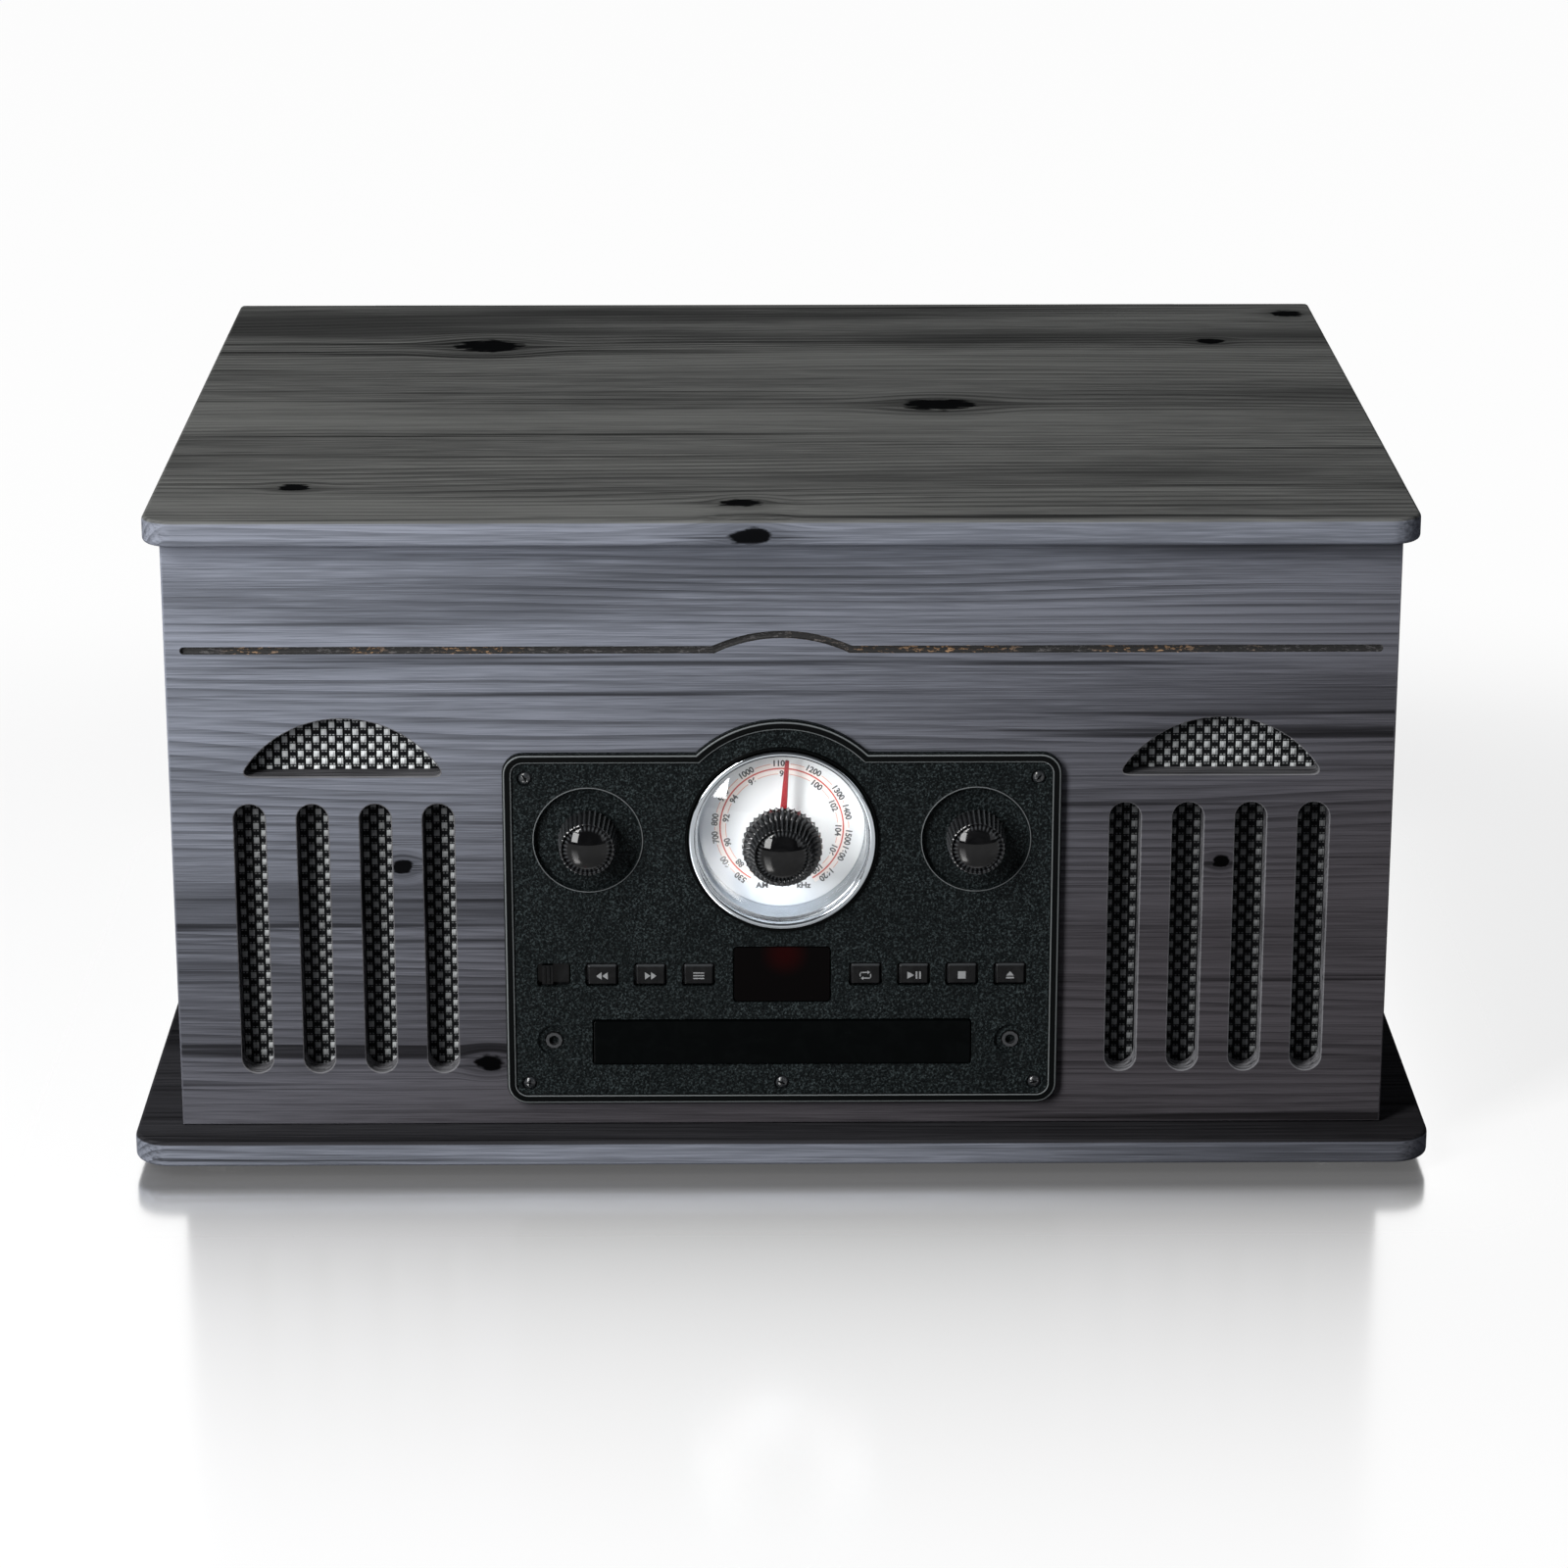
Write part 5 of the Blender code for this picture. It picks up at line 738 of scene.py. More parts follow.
panel_edges.append(edge(fascia_outline(tub_hole_inset), [(0.0, panel_front), (0.0, panel_back)]))
groove_floor = panel_front + groove_depth
groove_steps = eased(groove_edge_round, panel_front, 2)
groove_steps += [(0.0, groove_floor - 0.0003), (-0.0004, groove_floor)]
panel_edges.append(edge(groove_outline(), groove_steps, "floor", 1))
front_board = pierced_plate("front_panel_sawn", panel_edges)


def panel_wear(point):
    """The panel's edges and the lips of its slots and half-moons are pale: partly wear, partly painted
    highlight.
    """
    lip = lip_wear_and_sheen if panel_front + 0.00005 < point.y < panel_front + 0.0006 else 0.0
    return max(lip, worn_edges(panel_low, panel_high, panel_wear_and_sheen_reach)(point))


mark_worn(front_board, panel_wear)
front_knots = [
    ((-0.1302, panel_front, 0.1090), (0.0040, 0.02, 0.0032)),
    ((-0.1014, panel_front, 0.0372), (0.0062, 0.02, 0.0036)),
    ((0.1505, panel_front, 0.1101), (0.0034, 0.02, 0.0024)),
]
# The front wood has a painted shade, darker towards the right and the bottom.
front_wood = make_wood("front_wood", cabinet_tones, front_knots, painted_shade=front_painted_shade)

# Dark stain that the router cut through, so that grains of raw wood show.
groove_wood, surface, vector = new_material("groove_wood")
grains = vector.scaled(420.0, 420.0, 1300.0).noise(1.0, 3.0, 0.7)
raw = vector.scaled(26.0, 1.0, 1.0).noise(1.0).spread(0.50, 0.62).mix(raw_grey, raw_tan)
colour = grains.spread(0.54, 0.64).mix(groove_dark, raw)
principled(surface, Base_Color=colour, Roughness=grains.spread(0.3, 0.7, 0.6, 0.9))
# The sawn walls take the base top's darker tones; their pale tone, on the lips, is partly wear and partly a
# painted highlight.
cut_wood = make_wood("cut_wood", (*base_top_shaded_tones[:2], cut_pale_and_sheen))
finish_piece(front_board, [front_wood, groove_wood, cut_wood], "cabinet", ["front_panel"])


# Grille cloths. Black and silver thread in a basket weave, stretched flat and stapled behind the panel.
# The silver threads surface in turn between black ones, and are painted darker behind the slots and towards
# the right, as shade.
cloth_gap = 0.0004
cloth_columns = 44
cloth_rows = 70
weave_pitch = 0.0054
weave_row = 0.0026
silver_thread = (0.78, 0.80, 0.80)
silver_shade = (0.44, 0.46, 0.48)
# Painted shade: the silver threads turn towards this dark thread behind the slots and on the right.
shaded_thread = (0.020, 0.021, 0.023)
black_thread = (0.0025, 0.0026, 0.0030)
black_sheen = (0.010, 0.011, 0.012)
cloth_material, surface, vector = new_material("grille_cloth_woven")
x, y, z = vector.parts()
rows = z / weave_row
v = rows.maths("FRACT") - 0.5
across = x / weave_pitch + (rows.maths("FLOOR") + 1000.0).maths("MODULO", 2.0) * 0.5
u = (across + 100.0).maths("FRACT") - 0.5
thread = abs(u).spread(0.192, 0.170) * abs(v).spread(0.45, 0.40)
peeks = abs(abs(u) - 0.40).spread(0.075, 0.050) * abs(abs(v) - 0.36).spread(0.10, 0.06)
thread = thread.highest(peeks * 0.50)
fibre = vector.scaled(900.0, 1.0, 5200.0).noise(1.0)
warp = vector.scaled(5200.0, 1.0, 900.0).noise(1.0)
lift = thread * (u * 6.0).maths("COSINE") * (v * 3.0).maths("COSINE")
ribs = (across * 37.7).maths("SINE") * 0.10
# Painted shade: the silver is darker below the half-moons, behind the slots, and towards the right.
cloth_lit_share = z.spread(moon_low - 0.006, moon_low + 0.001, 0.50, 1.0) * x.spread(-0.05, 0.10, 1.0, 0.72)
silver = cloth_lit_share.mix(shaded_thread, fibre.mix(silver_shade, silver_thread))
principled(
    surface,
    Base_Color=thread.mix(fibre.mix(black_thread, black_sheen), silver),
    Roughness=thread.spread(0.0, 1.0, 0.72, 0.42, False),
    Normal=(lift + ribs + warp * 0.2).bump(0.0006),
    Specular_IOR_Level=0.04,
)
for side_name in ("left", "right"):
    low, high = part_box(f"{side_name}_grille_cloth")
    shape = bmesh.new()
    grid = []
    for row in range(cloth_rows + 1):
        z = low.z + (high.z - low.z) * row / cloth_rows
        xs = [low.x + (high.x - low.x) * i / cloth_columns for i in range(cloth_columns + 1)]
        grid.append([shape.verts.new((x, low.y + cloth_gap, z)) for x in xs])
    for lower, upper in zip(grid, grid[1:]):
        for i in range(cloth_columns):
            shape.faces.new((lower[i], lower[i + 1], upper[i + 1], upper[i]))
    cloth = mesh_piece(f"{side_name}_cloth_stretched", shape)
    finish_piece(cloth, [cloth_material], "cabinet", [f"{side_name}_grille_cloth"])


# Loudspeakers. A pressed steel basket with a black paper cone in a foam surround, and a ferrite magnet.
# A gasket in front of its flange faces the cloth.
basket_front = -0.1495
speaker_paper = (0.016, 0.016, 0.017)
paper_fibre = (0.050, 0.048, 0.046)
basket_steel = (0.30, 0.30, 0.29)
speaker_material, surface, vector = new_material("speaker_paper_and_steel")
fibres = vector.noise(1400.0, 4.0, 0.7)
basket = vector.parts()[1].spread(basket_front - 0.0002, basket_front + 0.0002)
principled(
    surface,
    Base_Color=basket.mix(fibres.mix(speaker_paper, paper_fibre), basket_steel),
    Roughness=fibres.spread(0.3, 0.7, 0.55, 0.85),
    Metallic=basket * 0.85,
    Normal=fibres.bump(0.0001),
)
dress(speaker_material, "left_loudspeaker", "right_loudspeaker")


# Fascia. One black moulding with a spark-eroded grain on its field, a smooth raised rim, and a wall behind
# that passes through the panel. Five black cross-head screws hold it.
rim_front = -0.16515
field_front = -0.16435
plate_back = -0.16185
seat_level = -0.16245
tub_back = -0.14415
rim_width = 0.0030
rim_slope = 0.0005
rim_round = 0.0010
rim_inner_round = 0.0003
tub_inset = 0.0052
tub_wall = 0.0020
dial_hole = 0.0322
dial_lip = 0.0009
dial_lip_rise = 0.0012
knob_x = 0.0664
knob_dish = 0.0185
knob_dish_floor = 0.0179
knob_dish_depth = 0.0020
knob_dish_lip = 0.0005
knob_hole_inset = 0.0145
button_z = 0.0702
button_rows = (-0.07875, -0.0621, -0.04545, -0.0288, 0.0288, 0.04545, 0.0621, 0.07875)
well_size = (0.01145, 0.0086, 0.0013)
well_round = 0.0003
display_size = (0.0338, 0.0206, 0.0015)
door_z = 0.0455
door_hole = (0.1312, 0.0166, 0.0010)
jack_x = 0.0791
jack_z = 0.0460
jack_dish = 0.0054
screw_places = [(0.0, 0.0303)] + [(side * 0.0876, z) for side in (-1, 1) for z in (0.1415, 0.0303)]
screw_well = 0.0027
screw_well_depth = 0.0010
screw_head = 0.0023
fascia_colour = (0.0030, 0.0041, 0.0044)
fascia_speck = (0.056, 0.072, 0.075)
fascia_smooth = (0.0014, 0.0018, 0.0019)
# Painted highlight: the pale lines along the rim's edge and the dishes' lips.
fascia_highlight = (0.18, 0.195, 0.200)


def circle(u, v, radius, steps=96):
    return arc(u, v, radius, 0.0, 360.0, steps)[:-1]


def from_field(*steps):
    """Steps of an edge whose levels are measured from the fascia's field."""
    return [(distance, field_front + level) for distance, level in steps]


rim_steps = [(rim_width + rim_slope, field_front), (rim_width + 0.0002, rim_front + 0.0002)]
rim_steps += [(rim_width, rim_front + 0.00005), (rim_width - rim_inner_round, rim_front)]
rim_steps += eased(rim_round, rim_front, 4)
rim_steps += [(0.0, seat_level), (tub_inset, seat_level), (tub_inset, tub_back)]
rim_steps += [(tub_inset + tub_wall, tub_back), (tub_inset + tub_wall, plate_back)]
fascia_edges = [([(fascia_outline(inset), level) for inset, level in rim_steps], "through", 0)]
dial_steps = from_field(
    (dial_lip + 0.0003, 0.0),
    (dial_lip, -0.0003),
    (dial_lip, 0.0003 - dial_lip_rise),
    (dial_lip - 0.0003, -dial_lip_rise),
    (0.0003, -dial_lip_rise),
    (0.0, 0.0003 - dial_lip_rise),
)
fascia_edges.append(edge(circle(0.0, dial_z, dial_hole, 160), dial_steps + [(0.0, plate_back)]))
taper = knob_dish_floor - knob_dish
dish_steps = from_field(
    (knob_dish_lip + 0.0002, 0.0),
    (knob_dish_lip, -0.0003),
    (knob_dish_lip - 0.0002, -0.0005),
    (0.0001, -0.0005),
    (0.0, -0.0003),
    (taper, knob_dish_depth - 0.0004),
    (taper - 0.0004, knob_dish_depth),
    (-knob_hole_inset, knob_dish_depth),
    (-knob_hole_inset, knob_dish_depth + 0.0020),
)
jack_steps = from_field(
    (0.0003, 0.0), (0.0, 0.0003), (0.0, 0.0011), (-0.0002, 0.0013), (-0.0022, 0.0013), (-0.0022, 0.0030)
)
for side in (-1, 1):
    fascia_edges.append(edge(circle(side * knob_x, dial_z, knob_dish, 112), dish_steps, "open"))
    fascia_edges.append(edge(circle(side * jack_x, jack_z, jack_dish, 56), jack_steps, "open"))
well_steps = eased(well_round, field_front) + [(0.0, plate_back)]
wells = [rounded_rectangle(x, button_z, *well_size, 5) for x in button_rows]
wells.append(rounded_rectangle(0.0, button_z, *display_size, 6))
wells.append(rounded_rectangle(0.0, door_z, *door_hole, 5))
fascia_edges += [edge(well, well_steps) for well in wells]
screw_steps = eased(0.0002, field_front) + [(0.0, field_front + screw_well_depth)]
fascia_edges += [edge(circle(x, z, screw_well, 32), screw_steps, "floor") for x, z in screw_places]
fascia = pierced_plate("fascia_moulding", fascia_edges)


def rim_wear(point):
    """The outer edge of the rim and the dishes' lips are painted paler, as a highlight along their edges.
    """
    if rim_front + 0.00005 < point.y < rim_front + 0.0002:
        return 1.0
    lip = rim_front + 0.0002 < point.y < rim_front + 0.0004 and abs(point.z - dial_z) < 0.0200
    return 0.7 if lip else 0.0


mark_worn(fascia, rim_wear)

# Grained on the field, and smooth and a little glossier on what stands in front of it.
fascia_plastic, surface, vector = new_material("fascia_plastic")
field = vector.parts()[1].spread(field_front - 0.00025, field_front - 0.00005)
cells = {"Vector": vector, "Scale": 1150.0}
cells = vector.place("TexVoronoi", {"feature": "SMOOTH_F1"}, cells, "Distance")
specks = vector.noise(1500.0, 2.0, 0.8).spread(0.48, 0.70)
cloud = vector.noise(70.0).spread(0.35, 0.65, 0.45, 0.65)
grained = (specks * cloud).mix(fascia_colour, fascia_speck)
# The rim's edge and the dishes' lips are painted paler as a highlight.
smooth = (how_worn(vector) * 0.9).mix(fascia_smooth, fascia_highlight)
principled(
    surface,
    Base_Color=field.mix(smooth, grained),
    Roughness=field.spread(0.0, 1.0, 0.20, 0.46, False),
    Normal=((1.0 - cells.spread(0.15, 0.75)) * field).bump(0.00022),
    Specular_IOR_Level=0.04,
)
finish_piece(fascia, [fascia_plastic], "cabinet", ["fascia"], 40.0)


def turned(name, centre, profile, axis="Y", steps=96, flutes=0, flute_depth=0.0):
    """Turns a profile of (radius, level along the axis) round a centre. Level grows away from the front.

    A third value in a point, from 0 to 1, says how deep the flutes are there.
    """
    shape = bmesh.new()
    u, v, start = [centre[i] for i in ((0, 2, 1) if axis == "Y" else (0, 1, 2))]
    rings = []
    for radius, level, *depths in profile:
        ring = []
        for i in range(steps if radius else 1):
            turn = 2 * pi * i / steps
            dent = sum(depths) * flute_depth * (0.5 - 0.5 * cos(flutes * turn)) ** 0.5
            reach = radius - dent
            corner = on_axis(axis, u + reach * cos(turn), v + reach * sin(turn), start + level)
            ring.append(shape.verts.new(corner))
        rings.append(ring)
    if profile[0][0] and profile[-1][0]:
        rings.append(rings[0])
    for lower, upper in zip(rings, rings[1:]):
        if len(lower) == len(upper):
            join_rings(shape, (lower, upper))
            continue
        (tip,), ring = sorted((lower, upper), key=len)
        for i in range(steps):
            shape.faces.new((tip, ring[i], ring[(i + 1) % steps]))
    return mesh_piece(name, shape)


def dome(radius, front, rise, steps=8):
    """The profile of a dome, from its tip to its edge, whose tip stands at a level."""
    ball = (radius**2 + rise**2) / (2 * rise)
    reaches = [radius * i / steps for i in range(steps + 1)]
    return [(reach, front + ball - sqrt(ball**2 - reach**2)) for reach in reaches]


def baked(holder):
    """A new mesh of what an object looks like with its modifiers or letters set."""
    bpy.context.view_layer.update()
    return bpy.data.meshes.new_from_object(holder.evaluated_get(bpy.context.evaluated_depsgraph_get()))


def cross_head(name, centre, radius, rise, skirt, tilt, outward=-1):
    """A screw's domed head with a cross cut into it. outward is -1 where it faces the front, or 1."""
    profile = [(reach, -outward * level) for reach, level in dome(radius - 0.0002, 0.0, rise, 6)]
    head = turned(name, centre, profile + [(radius, -outward * skirt)], steps=32)
    cutter = bmesh.new()
    for angle in (tilt, tilt + 90.0):
        spin = Matrix.Translation(centre) @ Matrix.Rotation(radians(angle), 4, "Y")
        size = Matrix.Diagonal((1.4 * radius, 0.0012, 0.26 * radius, 1.0))
        bmesh.ops.create_cube(cutter, size=1.0, matrix=spin @ size)
    slots = mesh_piece("screw_slots", cutter)
    cut = head.modifiers.new("slots", "BOOLEAN")
    cut.object = slots
    cut.use_self = True
    cut_head = baked(head)
    head.modifiers.clear()
    head.data = cut_head
    bpy.data.objects.remove(slots)
    return head


screw_black = make_plastic("screw_black", (0.018, 0.020, 0.022), 0.20, 0.05, 2500.0)
screw_tip = field_front - 0.0003
screw_skirt = field_front + screw_well_depth - screw_tip
for i, (x, z) in enumerate(screw_places):
    tip = (x, screw_tip, z)
    head = cross_head(f"fascia_screw_{i + 1}", tip, screw_head, 0.0009, screw_skirt, 20.0 + 37.0 * i)
    finish_piece(head, [screw_black], "cabinet")


# Dial. A chromed plastic ring with a funnel to a white printed face, and a red pointer under a domed
# clear lens. The print is pad-printed ink, with the scales on two arcs.
ring_outer = 0.0319
ring_inner = 0.0300
ring_proud = 0.0019
ring_round = 0.0006
funnel_rear = 0.0283
dial_depth = 0.0135
face_radius = 0.0295
face_thick = 0.0012
shaft_hole = 0.0038
ink_rise = 0.00004
red_arc = 0.0211
inner_arc = 0.0192
outer_arc = 0.0229
arc_end = 150.0
red_half = 0.00026
orange_half = 0.00011
outer_numbers = (
    (530, -142), (600, -123), (700, -99), (800, -83), (900, -60), (1000, -32), (1100, -1),
    (1200, 28), (1300, 57), (1400, 76), (1500, 99), (1600, 114), (1620, 138),
)  # fmt: skip
inner_numbers = (
    (88, -132), (90, -106), (92, -80), (94, -58), (96, -31), (98, 2), (100, 38), (102, 66),
    (104, 93), (106, 115), (108, 141),
)  # fmt: skip
number_size = 0.0029
number_advance = 0.00150
number_gap = 0.0004
number_weight = 0.00010
unit_z = 0.0985
chrome_colour = (0.44, 0.47, 0.50)
face_white = (0.66, 0.68, 0.69)
face_shaded = (0.44, 0.50, 0.58)
ink_grey = (0.020, 0.021, 0.025)
ink_red = (0.50, 0.045, 0.030)
ink_orange = (0.62, 0.24, 0.15)
ink_pale = (0.80, 0.74, 0.71)
pointer_colour = (0.20, 0.004, 0.008)
lens_radius = 0.0297
lens_bore = 0.0050
lens_seat = 0.0015
lens_thick = 0.0014
lens_rise = 0.0065
lens_steps = 20


def make_metal(name, colour, roughness, brushed=(1.0, 1.0, 1.0), scale=400.0, spots=0.10):
    """Metal with a fine grain, stretched where it is brushed, and cloudy finger marks."""
    material, surface, vector = new_material(name)
    skin = use_group(skin_group, Vector=vector.scaled(*brushed), Patches=45.0, Grain=scale)
    darker = [part * 0.72 for part in colour]
    rough = skin["Grain"].spread(0.3, 0.7, roughness * 0.8, roughness * 1.25)
    principled(
        surface,
        Base_Color=skin["Patch"].spread(0.4, 0.7, 0.0, 0.35).mix(colour, darker),
        Metallic=1.0,
        Roughness=rough + skin["Patch"].spread(0.45, 0.7) * spots,
        Normal=skin["Grain"].bump(0.00001),
    )
    return material


dial_centre = (0.0, field_front, dial_z)
ring_middle = (ring_outer + ring_inner) / 2
ring_half = (ring_outer - ring_inner) / 2
turns = [radians(180.0 * step / 6) for step in range(7)]
ring_profile = [(ring_middle - ring_half * cos(t), ring_round * (1 - sin(t)) - ring_proud) for t in turns]
ring_profile += [(ring_outer, 0.0020), (funnel_rear + 0.0012, dial_depth - 0.0003)]
ring_profile += [(funnel_rear, dial_depth - 0.0003), (funnel_rear + 0.0003, dial_depth - 0.0010)]
ring_profile += [(ring_inner - 0.0012, 0.0045), (ring_inner - 0.0012, 0.0033), (ring_inner, 0.0032)]
trim_ring = turned("dial_ring_chromed", dial_centre, ring_profile, steps=160)
chrome = make_metal("dial_chrome", chrome_colour, 0.09, scale=900.0, spots=0.03)
finish_piece(trim_ring, [chrome], "cabinet", ["dial_trim_ring"], 30.0)

face_material, surface, vector = new_material("dial_face_printed")
x, y, z = vector.parts()
rim_band = vector.distance(0.0, field_front + dial_depth, dial_z).spread(0.0185, 0.0275, 0.30, 1.0)
# Painted shade and reflection: the face turns blue-grey towards its lower left, near the rim.
shade = (x * 1.1 + z).spread(0.126, 0.092, 0.0, 0.75) * rim_band
principled(
    surface,
    Base_Color=shade.mix(face_white, face_shaded),
    Roughness=vector.noise(90.0, 3.0).spread(0.3, 0.7, 0.34, 0.46),
    Normal=vector.noise(2500.0).bump(0.00001),
)
face_profile = box_outline(shaft_hole, dial_depth, face_radius, dial_depth + face_thick)
face = turned("dial_face_disc", dial_centre, face_profile, steps=128)
finish_piece(face, [face_material], "cabinet", ["dial_face"], 30.0)

print_level = field_front + dial_depth - ink_rise


def round_strip(shape, inner, outer, start, end, level, number, steps=120):
    """A printed arc on the face, between two bearings clockwise from the top."""
    corners = []
    for i in range(steps + 1):
        turn = radians(start + (end - start) * i / steps)
        pair = [(reach * sin(turn), level, dial_z + reach * cos(turn)) for reach in (inner, outer)]
        corners.append([shape.verts.new(point) for point in pair])
    for (a, b), (c, d) in zip(corners, corners[1:]):
        shape.faces.new((a, b, d, c)).material_index = number


def add_words(shape, words, x, z, bearing=0.0):
    """Sets a few grey characters on the face, centred at a place and turned clockwise."""
    text = bpy.data.curves.new("ink", "FONT")
    text.body = str(words)
    text.size = number_size
    text.align_x = "CENTER"
    text.align_y = "CENTER"
    text.offset = number_weight
    holder = new_object("ink", text)
    flat = baked(holder)
    upright = Matrix.Rotation(radians(bearing), 4, "Y") @ Matrix.Rotation(radians(90.0), 4, "X")
    flat.transform(Matrix.Translation((x, print_level, z)) @ upright)
    shape.from_mesh(flat)
    bpy.data.objects.remove(holder)
    bpy.data.meshes.remove(flat)


def make_ink(name, colour, roughness=0.45):
    """Pad-printed ink, a little uneven."""
    material, surface, vector = new_material(name)
    thin = use_group(skin_group, Vector=vector, Grain=2600.0)["Grain"]
    paler = [part * 0.8 + 0.06 for part in colour]
    rough = thin.spread(0.3, 0.7, roughness - 0.06, roughness + 0.06)
    principled(surface, Base_Color=thin.spread(0.45, 0.75, 0.0, 0.6).mix(colour, paler), Roughness=rough)
    return material


dial_print = bmesh.new()
round_strip(dial_print, inner_arc, outer_arc, -arc_end, arc_end, print_level + ink_rise / 2, 3)
round_strip(dial_print, red_arc - red_half, red_arc + red_half, -arc_end, arc_end, print_level, 1)
for scale_numbers, reach in ((outer_numbers, outer_arc), (inner_numbers, inner_arc)):
    arc_start = -arc_end
    for value, bearing in scale_numbers:
        half_gap = degrees((len(str(value)) * number_advance / 2 + number_gap) / reach)
        if bearing - half_gap > arc_start:
            ends = (arc_start, bearing - half_gap)
            round_strip(dial_print, reach - orange_half, reach + orange_half, *ends, print_level, 2, 16)
        arc_start = bearing + half_gap
        turn = radians(bearing)
        add_words(dial_print, value, reach * sin(turn), dial_z + reach * cos(turn), bearing)
add_words(dial_print, "AM", -0.0067, unit_z)
add_words(dial_print, "kHz", 0.0075, unit_z)
printed = mesh_piece("dial_scale_print", dial_print)
dial_colours = {"grey": ink_grey, "red": ink_red, "orange": ink_orange, "pale": ink_pale}
dial_inks = [make_ink(f"dial_ink_{name}", colour) for name, colour in dial_colours.items()]
finish_piece(printed, dial_inks, "cabinet", angle=30.0)

ball = (lens_radius**2 + lens_rise**2) / (2 * lens_rise)
reaches = [lens_radius + (lens_bore - lens_radius) * i / lens_steps for i in range(lens_steps + 1)]
crowns = [(reach, lens_seat - sqrt(ball**2 - reach**2) + (ball - lens_rise)) for reach in reaches]
lens_profile = crowns + [(reach, level + lens_thick) for reach, level in reversed(crowns)]
lens = turned("dial_lens_clear", dial_centre, lens_profile, steps=128)
lens_material, surface, vector = new_material("lens_acrylic")
tree = surface.id_data
smears = vector.noise(120.0, 3.0).spread(0.4, 0.8, 0.02, 0.03)
inputs = {"Base_Color": white, "Roughness": smears, "Transmission_Weight": 1.0, "IOR": 1.49}
acrylic = shader(tree, "BsdfPrincipled", **inputs)
clear = shader(tree, "BsdfTransparent", Color=white)
shadow_ray = Signal(place(tree, "LightPath").outputs["Is Shadow Ray"])
plug(surface, shadow_ray.blend(acrylic, clear))
finish_piece(lens, [lens_material], "cabinet", ["dial_lens"], 40.0)

# The pointer, moulded red, on the tuner's shaft.
pointer_level = field_front + 0.0075
pointer_length = 0.0258
pointer_root = 0.0013
pointer_tip = 0.00065
pointer_hub = 0.0052
pointer_tilt = radians(4.0)
needle = [(-pointer_root, pointer_hub - 0.0006), (pointer_root, pointer_hub - 0.0006)]
needle += [(pointer_tip, pointer_length), (-pointer_tip, pointer_length)]
hub_profile = [(0.0033, -0.0010), (pointer_hub - 0.0003, -0.0010), (pointer_hub, -0.0007)]
hub_profile += [(pointer_hub, 0.0010), (0.0033, 0.0010)]
pointer = turned("dial_pointer_red", (0.0, pointer_level, dial_z), hub_profile, steps=48)
shape = bmesh.new()
shape.from_mesh(pointer.data)
rings = []
lean = Matrix.Rotation(pointer_tilt, 4, "Y")
for inset, level in ((0.00025, -0.0005), (0.0, -0.00025), (0.0, 0.0005)):
    corners = [lean @ Vector((u, level, v)) for u, v in (drawn_out(needle, -inset) if inset else needle)]
    rings.append([shape.verts.new(corner + Vector((0.0, pointer_level, dial_z))) for corner in corners])
join_rings(shape, rings)
shape.faces.new(rings[0])
shape.faces.new(rings[-1])
bmesh.ops.recalc_face_normals(shape, faces=shape.faces)
shape.to_mesh(pointer.data)
shape.free()
red_plastic = make_plastic("pointer_plastic", pointer_colour, 0.30, 0.04)
finish_piece(pointer, [red_plastic], "dial_pointer", ["dial_pointer"], 30.0)


# Knobs. Black mouldings pushed on their shafts: a stepped, fluted tuning knob and two smaller ones, each
# with a polished domed cap.
# Painted highlight: the pale grey on the crowns of the knobs' ribs and on the buttons' top and right edges.
highlight_grey = (0.060, 0.064, 0.068)
rib_highlight_share = 0.80
tuning_grip = [
    (0.0092, -0.0183), (0.0094, -0.0187), (0.0098, -0.0185, 0.3), (0.0100, -0.0180, 1.0),
    (0.0121, -0.0112, 1.0), (0.0124, -0.0107, 0.4), (0.0134, -0.0105, 0.1), (0.0138, -0.0100, 1.0),
    (0.0138, -0.0056, 1.0), (0.0136, -0.0053, 0.6),
]  # fmt: skip
tuning_shaft = [(0.0030, -0.0053), (0.0030, dial_depth + 0.0010), (0.0, dial_depth + 0.0010)]
tuning_cap = (0.0089, -0.0205, 0.0030, -0.0172)
small_grip = [
    (0.0085, -0.0104), (0.0088, -0.0108), (0.0093, -0.0106, 0.3), (0.0095, -0.0100, 1.0),
    (0.0104, 0.0010, 1.0), (0.0102, 0.0015, 0.5),
]  # fmt: skip
small_shaft = [(0.0030, 0.0015), (0.0030, 0.0038), (0.0, 0.0038)]
small_cap = (0.0082, -0.0125, 0.0028, -0.0094)


def make_polished(name, colour, roughness, shine):
    """Polished black plastic with faint swirls from wiping, and painted paler where a highlight is marked.
    """
    material, surface, vector = new_material(name)
    patch = use_group(skin_group, Vector=vector, Patches=150.0, Swirl=1.2)["Patch"]
    wiped = patch.spread(0.4, 0.7).mix(colour, [part * 1.5 + 0.002 for part in colour])
    principled(
        surface,
        Base_Color=how_worn(vector).mix(wiped, highlight_grey),
        Roughness=patch.spread(0.35, 0.75, roughness, roughness + 0.09),
        Specular_IOR_Level=shine,
    )
    return material


knob_polish = make_polished("knob_polish", (0.0018, 0.0018, 0.0021), 0.03, 0.24)
knob_grip = make_polished("knob_grip", (0.0035, 0.0035, 0.0040), 0.10, 0.45)


def rib_wear(centre, grip, flutes):
    """A painted highlight on the crowns of a knob's ribs."""
    highlight_levels = [centre[1] + point[1] for point in grip if len(point) > 2]

    def wear_at(point):
        if not min(highlight_levels) - 0.00001 < point.y < max(highlight_levels) + 0.00001:
            return 0.0
        turn = atan2(point.z - centre[2], point.x - centre[0])
        return rib_highlight_share * (0.5 + 0.5 * cos(flutes * turn)) ** 2

    return wear_at


